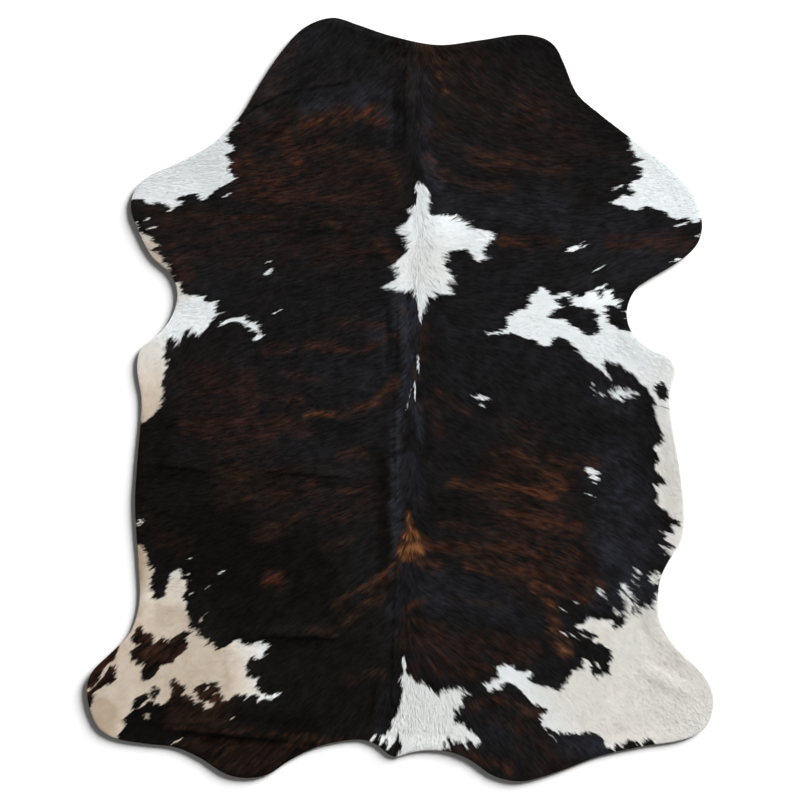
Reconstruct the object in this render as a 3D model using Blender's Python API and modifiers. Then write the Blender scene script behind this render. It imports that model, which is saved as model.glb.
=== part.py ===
"""Cowhide rug: one tanned hide with its hair on, cut to the animal's own outline and laid flat.

The neck points along +Y, the tail along -Y, the hair side is up.  The origin is on the floor,
below the middle of the hide.  Sizes are in millimetres and turned to metres when points are made.
"""

import math

import bmesh
import bpy
from mathutils import Vector
from mathutils.geometry import delaunay_2d_cdt

MM = 0.001

# Driving dimensions, in millimetres.
HIDE_LENGTH = 2290.0        # neck lobe to rump, along Y
HIDE_WIDTH = 1879.0         # hind shank to hind shank, along X
LEATHER = 2.5               # tanned skin
LAID_COAT = 3.5             # depth of the short hair as it lies on the skin
RIM_SHARE = 0.55            # the coat thins to this share of the full depth at the trimmed edge

CURVE_STEP = 6.0            # step along the smooth outline before it is evened out
EDGE_PITCH = 28.0           # spacing of points along the outline
BORDER = 26.0               # width of the strip in which the coat thins out
GRID_PITCH = 62.0           # spacing of points inside the hide
CREASE_PITCH = 30.0         # spacing of points along a crease
CREASE_ROWS = (-1.0, -0.67, -0.33, 0.0, 0.33, 0.67, 1.0)   # across a crease, in half widths
CROWDED = 0.5               # a grid point nearer to another than this share of the pitch goes

# The cut outline, clockwise from the neck.  Each region lists (across, along) in millimetres.
OUTLINE = {
    "neck": (
        (-249, 1136), (-195, 1146), (-135, 1128), (-30, 1093), (111, 1065),
        (240, 1079), (363, 1096), (435, 1083), (468, 1056), (495, 999), (531, 918),
    ),
    "right fore shank": (
        (600, 856), (687, 789), (780, 720), (840, 666), (879, 618), (903, 549),
        (905, 510), (890, 465), (843, 420), (750, 363), (705, 330),
    ),
    "right flank": (
        (680, 264), (696, 201), (750, 153), (801, 129), (825, 93), (808, 9), (819, -90),
        (840, -210), (852, -345), (844, -420), (804, -486), (780, -540), (774, -600),
    ),
    "right hind shank": (
        (782, -669), (828, -744), (894, -807), (933, -864), (940, -918), (918, -981),
        (855, -1017), (735, -1038), (600, -1068),
    ),
    "right rump": (
        (480, -1113), (390, -1140), (339, -1143), (276, -1125), (210, -1080), (150, -1056),
    ),
    "tail": (
        (81, -1051), (30, -1058), (-21, -1071), (-51, -1048), (-96, -1023),
    ),
    "left rump": (
        (-150, -1020), (-246, -1040), (-330, -1080), (-396, -1123), (-459, -1134),
        (-522, -1122), (-600, -1074), (-675, -1042),
    ),
    "left hind shank": (
        (-765, -1031), (-855, -1014), (-909, -978), (-938, -888), (-927, -822),
        (-864, -756), (-810, -699), (-783, -609),
    ),
    "left flank": (
        (-785, -495), (-795, -315), (-789, -195), (-776, -6), (-789, 96), (-777, 153),
        (-714, 207), (-681, 258), (-668, 318),
    ),
    "left fore shank": (
        (-687, 375), (-744, 429), (-780, 495), (-807, 573), (-795, 630), (-753, 672),
        (-660, 714), (-576, 759), (-513, 810), (-465, 870), (-420, 948), (-360, 1038),
        (-300, 1107),
    ),
}

# Creases left by folding: (name, start, end, height, half width), in millimetres.
CREASES = (
    ("neck fold", (15, 1030), (12, 700), 7.0, 38.0),
    ("shoulder fold", (-450, 885), (-120, 960), 6.0, 42.0),
    ("back fold", (-6, 330), (-6, 60), 5.0, 36.0),
    ("left rib fold", (-780, -200), (-555, -210), 6.0, 40.0),
    ("middle rib fold", (-405, -225), (0, -240), 5.0, 40.0),
    ("loin fold", (-495, -711), (-150, -708), 6.0, 42.0),
    ("left rump fold", (-750, -975), (-270, -1020), 7.0, 45.0),
    ("right shank fold", (705, -795), (900, -900), 5.0, 40.0),
)

# Where the rim lifts off the floor: (name, centre, reach, rise), in millimetres.
LIFTS = (
    ("left fore shank", (-830, 560), 240.0, 9.0),
    ("left elbow", (-670, 300), 170.0, 7.0),
    ("left flank", (-840, -330), 260.0, 7.0),
    ("left hind shank", (-960, -900), 260.0, 9.0),
    ("left rump", (-450, -1160), 220.0, 7.0),
    ("tail corner", (-20, -1090), 150.0, 7.0),
    ("right rump", (330, -1170), 230.0, 6.0),
    ("right hind shank", (965, -960), 230.0, 6.0),
    ("right fore shank", (930, 540), 210.0, 5.0),
    ("neck lobe", (-210, 1170), 180.0, 5.0),
)


def clear_scene():
    """Remove what Blender opens with."""
    for obj in list(bpy.data.objects):
        bpy.data.objects.remove(obj, do_unlink=True)


def smooth_outline():
    """The closed curve through the outline's points, centred and scaled to the driving sizes."""
    knots = [Vector(point) for region in OUTLINE.values() for point in region]
    curve = []
    count = len(knots)
    for index in range(count):
        before, start, end, after = (knots[(index + step) % count] for step in (-1, 0, 1, 2))
        steps = max(2, math.ceil((end - start).length / CURVE_STEP))
        lean_in = (end - before) * tangent_share(before, start, end)
        lean_out = (after - start) * tangent_share(after, end, start)
        for step in range(steps):
            curve.append(hermite(start, end, lean_in, lean_out, step / steps))
    low = Vector((min(point.x for point in curve), min(point.y for point in curve)))
    high = Vector((max(point.x for point in curve), max(point.y for point in curve)))
    middle = (low + high) / 2.0
    stretch = (HIDE_WIDTH / (high.x - low.x), HIDE_LENGTH / (high.y - low.y))
    return [Vector(((p.x - middle.x) * stretch[0], (p.y - middle.y) * stretch[1])) for p in curve]


def tangent_share(before, start, end):
    """How much of the chord becomes the tangent, so that uneven spacing makes no overshoot."""
    span_before = (start - before).length
    span_after = (end - start).length
    return span_after / (span_before + span_after)


def hermite(start, end, lean_in, lean_out, t):
    """A point on the cubic from start to end."""
    square = t * t
    cube = square * t
    return (
        start * (2 * cube - 3 * square + 1)
        + lean_in * (cube - 2 * square + t)
        + end * (3 * square - 2 * cube)
        + lean_out * (cube - square)
    )


def even_points(curve, pitch):
    """Points along the closed curve at an even pitch, never sparser than asked."""
    lengths = [(curve[(i + 1) % len(curve)] - curve[i]).length for i in range(len(curve))]
    total = sum(lengths)
    count = math.ceil(total / pitch)
    points = []
    index = 0
    passed = 0.0
    for number in range(count):
        target = total * number / count
        while passed + lengths[index] < target:
            passed += lengths[index]
            index += 1
        share = (target - passed) / lengths[index]
        points.append(curve[index].lerp(curve[(index + 1) % len(curve)], share))
    return points


def inset_points(points, distance):
    """The clockwise ring moved inwards, leaving out points that would crowd in a tight bend."""
    ring = []
    count = len(points)
    for index, point in enumerate(points):
        along = (points[(index + 1) % count] - points[index - 1]).normalized()
        moved = point + Vector((along.y, -along.x)) * distance
        if rim_distance(moved, points) > distance * 0.8:
            ring.append(moved)
    return ring


def rim_distance(point, rim):
    """Shortest distance from a point to the closed rim."""
    best = math.inf
    for index, start in enumerate(rim):
        span = rim[(index + 1) % len(rim)] - start
        share = max(0.0, min(1.0, (point - start).dot(span) / span.length_squared))
        best = min(best, (point - start - span * share).length)
    return best


def is_inside(point, rim):
    """Whether a point lies inside the closed rim."""
    inside = False
    for index, end in enumerate(rim):
        start = rim[index - 1]
        if (start.y > point.y) != (end.y > point.y):
            cross = start.x + (point.y - start.y) * (end.x - start.x) / (end.y - start.y)
            if point.x < cross:
                inside = not inside
    return inside


def crease_points():
    """Rows of points along each crease and across it, so that its shape is followed."""
    points = []
    for _name, start, end, _height, half_width in CREASES:
        head = Vector(start)
        run = Vector(end) - head
        side = Vector((-run.y, run.x)).normalized() * half_width
        steps = math.ceil(run.length / CREASE_PITCH)
        for step in range(steps + 1):
            for row in CREASE_ROWS:
                points.append(head + run * (step / steps) + side * row)
    return points


def grid_points(taken):
    """A staggered grid over the hide that keeps away from the points already there."""
    points = []
    row_pitch = GRID_PITCH * math.sqrt(3.0) / 2.0
    rows = math.ceil(HIDE_LENGTH / 2.0 / row_pitch)
    columns = math.ceil(HIDE_WIDTH / 2.0 / GRID_PITCH) + 1
    for row in range(-rows, rows + 1):
        for column in range(-columns, columns + 1):
            point = Vector(((column + 0.5 * (row % 2)) * GRID_PITCH, row * row_pitch))
            if all((point - other).length > GRID_PITCH * CROWDED for other in taken):
                points.append(point)
    return points


def swell(share):
    """A soft bump: 1 in the middle, falling to exactly 0 at 1."""
    if share >= 1.0:
        return 0.0
    return 0.5 + 0.5 * math.cos(math.pi * share)


def floor_gap(point):
    """How far the skin's underside stands off the floor at a point."""
    gap = 0.0
    for _name, start, end, height, half_width in CREASES:
        head = Vector(start)
        run = Vector(end) - head
        share = (point - head).dot(run) / run.length_squared
        if 0.0 < share < 1.0:
            across = (point - head - run * share).length
            gap += height * swell(across / half_width) * swell(abs(2.0 * share - 1.0)) ** 0.5
    for _name, centre, reach, rise in LIFTS:
        gap += rise * swell((point - Vector(centre)).length / reach)
    return gap


def well_inside(points, rim):
    """The points that lie inside the rim and clear of its border strip."""
    clear = BORDER * 1.5
    return [p for p in points if is_inside(p, rim) and rim_distance(p, rim) > clear]


def skin_mesh():
    """The underside of the skin as one open sheet, with its border strip around it."""
    rim = even_points(smooth_outline(), EDGE_PITCH)
    points = rim + inset_points(rim, BORDER)
    points += well_inside(crease_points(), rim)
    points += well_inside(grid_points(points), rim)
    rim_edges = [(index, (index + 1) % len(rim)) for index in range(len(rim))]
    inside_only = 1
    corners, _edges, faces, *_sources = delaunay_2d_cdt(points, rim_edges, [], inside_only, 0.01)
    mesh = bpy.data.meshes.new("hide")
    corners_m = [(c.x * MM, c.y * MM, floor_gap(c) * MM) for c in corners]
    mesh.from_pydata(corners_m, [], faces)
    sheet = bmesh.new()
    sheet.from_mesh(mesh)
    bmesh.ops.recalc_face_normals(sheet, faces=sheet.faces)
    if sum(face.normal.z for face in sheet.faces) < 0.0:
        bmesh.ops.reverse_faces(sheet, faces=sheet.faces)
    sheet.to_mesh(mesh)
    sheet.free()
    return mesh


def hair_on_leather():
    """Tanned cowhide with short black hair: dark, softly glossy, not metallic."""
    material = bpy.data.materials.new("hair_on_leather")
    material.use_nodes = True
    shader = material.node_tree.nodes["Principled BSDF"]
    shader.inputs["Base Color"].default_value = (0.016, 0.012, 0.011, 1.0)
    shader.inputs["Roughness"].default_value = 0.55
    shader.inputs["Metallic"].default_value = 0.0
    material.diffuse_color = (0.016, 0.012, 0.011, 1.0)
    return material


def build_hide():
    """The hide as one solid: the skin sheet given the depth of leather and laid coat."""
    collection = bpy.data.collections.new("cowhide_rug")
    bpy.context.scene.collection.children.link(collection)
    mesh = skin_mesh()
    mesh.materials.append(hair_on_leather())
    hide = bpy.data.objects.new("hide", mesh)
    collection.objects.link(hide)

    full_coat = hide.vertex_groups.new(name="full_coat")
    rim_corners = {v for edge in open_edges(mesh) for v in edge}
    full_coat.add([v.index for v in mesh.vertices if v.index not in rim_corners], 1.0, "REPLACE")

    depth = hide.modifiers.new("leather_and_coat", "SOLIDIFY")
    depth.thickness = (LEATHER + LAID_COAT) * MM
    depth.offset = 1.0
    depth.use_even_offset = False
    depth.vertex_group = full_coat.name
    depth.thickness_vertex_group = RIM_SHARE
    return hide


def open_edges(mesh):
    """The edges that belong to one face only."""
    uses = {}
    for face in mesh.polygons:
        for key in face.edge_keys:
            uses[key] = uses.get(key, 0) + 1
    return [key for key, count in uses.items() if count == 1]


clear_scene()
build_hide()
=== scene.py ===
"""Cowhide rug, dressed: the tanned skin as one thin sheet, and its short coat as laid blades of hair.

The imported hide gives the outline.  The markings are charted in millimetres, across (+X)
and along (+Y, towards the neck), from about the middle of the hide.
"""

import math

import bmesh
import bpy
import numpy as np
from mathutils.geometry import delaunay_2d_cdt
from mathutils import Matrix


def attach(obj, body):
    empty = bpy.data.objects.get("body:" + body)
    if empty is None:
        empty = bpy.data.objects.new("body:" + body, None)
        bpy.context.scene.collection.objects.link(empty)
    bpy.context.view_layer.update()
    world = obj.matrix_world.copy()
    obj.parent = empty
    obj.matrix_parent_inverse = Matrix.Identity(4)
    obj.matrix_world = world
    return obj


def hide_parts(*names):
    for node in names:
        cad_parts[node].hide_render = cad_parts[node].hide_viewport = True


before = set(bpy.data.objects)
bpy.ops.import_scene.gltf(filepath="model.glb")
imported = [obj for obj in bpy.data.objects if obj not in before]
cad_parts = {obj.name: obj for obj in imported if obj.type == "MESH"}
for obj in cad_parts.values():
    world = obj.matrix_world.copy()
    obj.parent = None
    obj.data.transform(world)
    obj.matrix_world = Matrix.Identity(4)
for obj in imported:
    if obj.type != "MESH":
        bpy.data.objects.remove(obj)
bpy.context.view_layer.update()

MM = 0.001
SEED = 4127

# The skin, in millimetres.
LEATHER = 2.5               # tanned skin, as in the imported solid
RIM_STEP = 6.0              # spacing of points along the cut edge
SKIN_GRID = 16.0            # spacing of points over the skin
SKIN_MARGIN = 8.0           # the grid keeps this far from the cut edge
SHARP_ANGLE = 40.0          # degrees: the cut edge keeps its corners
RIM_CURL = 5.0              # the cut edge stands off the floor by this much where nothing lifts it
CURL_REACH = 60.0           # and comes down over this width
CURL_YIELD = 1.5            # no curl is left where the rim is lifted by this many curls

# The coat, in millimetres and degrees.
ROOT_SPACING = 2.06         # a blade stands for a few real hairs
ROOT_SCATTER = 0.45         # a root strays from its place by up to this share of the spacing
ROOT_INSET = 0.8            # a root stands at least this far inside the cut edge
ROOT_DEPTH = 0.2            # and this deep in the skin
HAIR_LENGTH = 17.0
HAIR_WIDTH = 2.2
SIZE_RANGE = (0.8, 1.2)     # the lengths and widths of single blades, as shares
SHAGGY_WIDTH = 0.25         # shaggy hair is wider by this share
HAIR_PITCH = 8.0            # how steeply the hair leaves the skin
PITCH_SPREAD = 2.0
ROLL_SPREAD = 7.0
LOOSE_TURN = 4.0            # how far single blades stray from the lay
SHAGGY_TURN = 3.0           # and how much further where they are shaggy
SWIRL_TURN = 14.0           # how far the coat as a whole swings about its lay
SHAGGY_SWIRL = 16.0
RIM_OVERHANG = 1.0          # a tip passes the cut edge by no more than this
TRIM_SHARE = 0.75           # a blade that passes it by more is cut to this share,
TRIM_ROUNDS = 8             # up to this many times over
VISIBLE_SHARE = 0.64        # the part of a blade that shows lies this far along it
BANDS = 5                   # the coat is split across the hide into this many pieces
BLADE_POINTS = 3            # corners of one blade
SKIN_SHADING = 0.78         # how far a blade's normal is drawn to the skin's
SLOPE_SHADING = 0.12        # the share of the skin's slope that this shading keeps
PALE_INSET = 2.0            # a blade is pale if the chart is pale this far around it
CHART_MIDDLE = (-1.2, -1.5)  # where the middle of the pale markings' chart lies on the hide

# The studio, in metres and degrees.
FLOOR_HALF = 30.0
FLOOR_DROP = 0.001          # the floor lies just under the hide, so the two share no plane
FILL_LIGHT = 0.12           # even light from all around
KEY_LIGHT = 9.75
KEY_WIDTH = 30.0            # how wide the key light is, seen from the hide
KEY_HEIGHT = 20.0           # how high it stands over the floor
KEY_BEARING = 43.0          # anticlockwise from +X
LENS = 120.0                # millimetres
SENSOR = 36.0
CAMERA_HEIGHT = 8.006       # 8 m over the coat, so the frame takes in 2.4 m of it
CAMERA_REACH = 40.0

# Creases left by folding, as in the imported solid: (name, start, end, height, half width).
CREASES = (
    ("neck fold", (15, 1030), (12, 700), 7.0, 38.0),
    ("shoulder fold", (-450, 885), (-120, 960), 6.0, 42.0),
    ("back fold", (-6, 330), (-6, 60), 5.0, 36.0),
    ("left rib fold", (-780, -200), (-555, -210), 6.0, 40.0),
    ("middle rib fold", (-405, -225), (0, -240), 5.0, 40.0),
    ("loin fold", (-495, -711), (-150, -708), 6.0, 42.0),
    ("left rump fold", (-750, -975), (-270, -1020), 7.0, 45.0),
    ("right shank fold", (705, -795), (900, -900), 5.0, 40.0),
)

# Narrow lines of painted shade along the folds and where the hair parts: (name, start, end, depth, half
# width).
PAINTED_SHADE_LINES = (
    ("neck fold line", (14, 1010), (10, 740), 0.45, 5.0),
    ("first shoulder branch", (-473, 857), (-261, 963), 0.5, 5.0),
    ("second shoulder branch", (-367, 914), (-147, 954), 0.5, 5.0),
    ("lower shoulder line", (-470, 801), (-330, 797), 0.3, 8.0),
    ("left shoulder line", (-420, 506), (-70, 494), 0.25, 9.0),
    ("star waist", (-15, 455), (150, 452), 0.4, 6.0),
    ("back fold line", (-8, 310), (-8, 80), 0.45, 5.0),
    ("left back line", (-20, 60), (-14, -380), 0.4, 5.0),
    ("left loin line", (-16, -480), (-30, -960), 0.4, 5.0),
    ("left rib line", (-778, -196), (-558, -216), 0.55, 6.0),
    ("middle rib line", (-417, -218), (-143, -238), 0.55, 6.0),
    ("loin line", (-421, -712), (-161, -720), 0.7, 5.5),
    ("left rump line", (-681, -996), (-247, -1036), 0.7, 6.0),
)

# Where the rim lifts off the floor: (name, centre, reach, rise).
LIFTS = (
    ("left fore shank", (-830, 560), 240.0, 8.0),
    ("left elbow", (-670, 300), 170.0, 6.5),
    ("left chest", (-800, 150), 160.0, 6.0),
    ("left flank", (-840, -290), 290.0, 7.5),
    ("left hind shank", (-960, -900), 260.0, 9.0),
    ("left hock", (-890, -750), 190.0, 8.0),
    ("left rump", (-500, -1160), 210.0, 6.0),
    ("tail side", (170, -1060), 110.0, 4.0),
    ("right rump", (390, -1180), 280.0, 6.5),
    ("right hind shank", (965, -960), 230.0, 6.0),
    ("right fore shank", (930, 540), 210.0, 5.0),
    ("neck lobe", (-290, 1130), 240.0, 6.0),
    ("left shoulder", (-560, 820), 190.0, 6.5),
)

# Which way the hair lies, in degrees from +X, on each side of the back:
# (along, left far out, left near the back, right near the back, right far out).
HEADINGS = (
    (1060, 215, 232, -52, -30),
    (870, 203, 222, -32, -15),
    (720, 190, 198, -12, 3),
    (550, 190, 192, -8, 6),
    (420, 198, 196, -4, 16),
    (270, 204, 200, -12, 3),
    (90, 198, 200, -34, -26),
    (-30, 194, 202, -36, -26),
    (-180, 192, 202, -22, -20),
    (-300, 194, 204, -13, -18),
    (-450, 202, 214, -16, -26),
    (-600, 210, 218, -22, -36),
    (-780, 216, 216, -34, -40),
    (-960, 210, 230, -50, -40),
    (-1120, 215, 240, -60, -45),
)
NEAR_BACK = 110.0           # how far from the back line the near headings hold
FAR_OUT = 650.0
BACK_LINE = ((1150, 45), (650, 55), (300, 52), (60, 45), (-430, 36), (-700, 15), (-1100, 5))
BACK_REACH = 40.0           # half width of the strip where the hair runs straight to the tail
BACK_BLEND = 24.0           # half width over which one side's lay turns into the other's
BACK_PULL = 1.6             # how strongly it is drawn straight there
TURN_PULL = 2.5             # how strongly a turn draws the hair aside
SPREAD_PULL = 1.6           # how strongly it is drawn out from a spread's middle
SPREAD_CORE = 4.0           # and the radius inside which that pull falls off

# Places where the hair turns aside: (name, centre, reach, heading).
TURNS = (
    ("left elbow fringe", (-655, 175), 70.0, 247),
    ("left flank rim", (-750, 50), 60.0, 248),
    ("left fore shank", (-700, 640), 120.0, 195),
    ("star upper left", (5, 505), 50.0, 168),
    ("star lower left", (-5, 365), 55.0, 207),
    ("star upper right", (135, 540), 50.0, 40),
    ("star right lobe", (235, 470), 60.0, -6),
    ("star lower right", (135, 345), 50.0, -16),
    ("star foot", (62, 285), 35.0, -90),
    ("right chest top", (590, 360), 60.0, 48),
    ("right chest point", (650, 60), 90.0, -52),
    ("right flank rim", (800, -220), 110.0, -68),
    ("belly", (700, -540), 110.0, -45),
    ("tail head", (60, -930), 100.0, -88),
    ("left hind shank", (-860, -840), 150.0, 226),
    ("right hind shank", (860, -900), 150.0, -42),
)

# Where the hair spreads out from a point: (name, centre, reach).
SPREADS = (
    ("loin whorl", (26, -382), 40.0),
)

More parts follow.
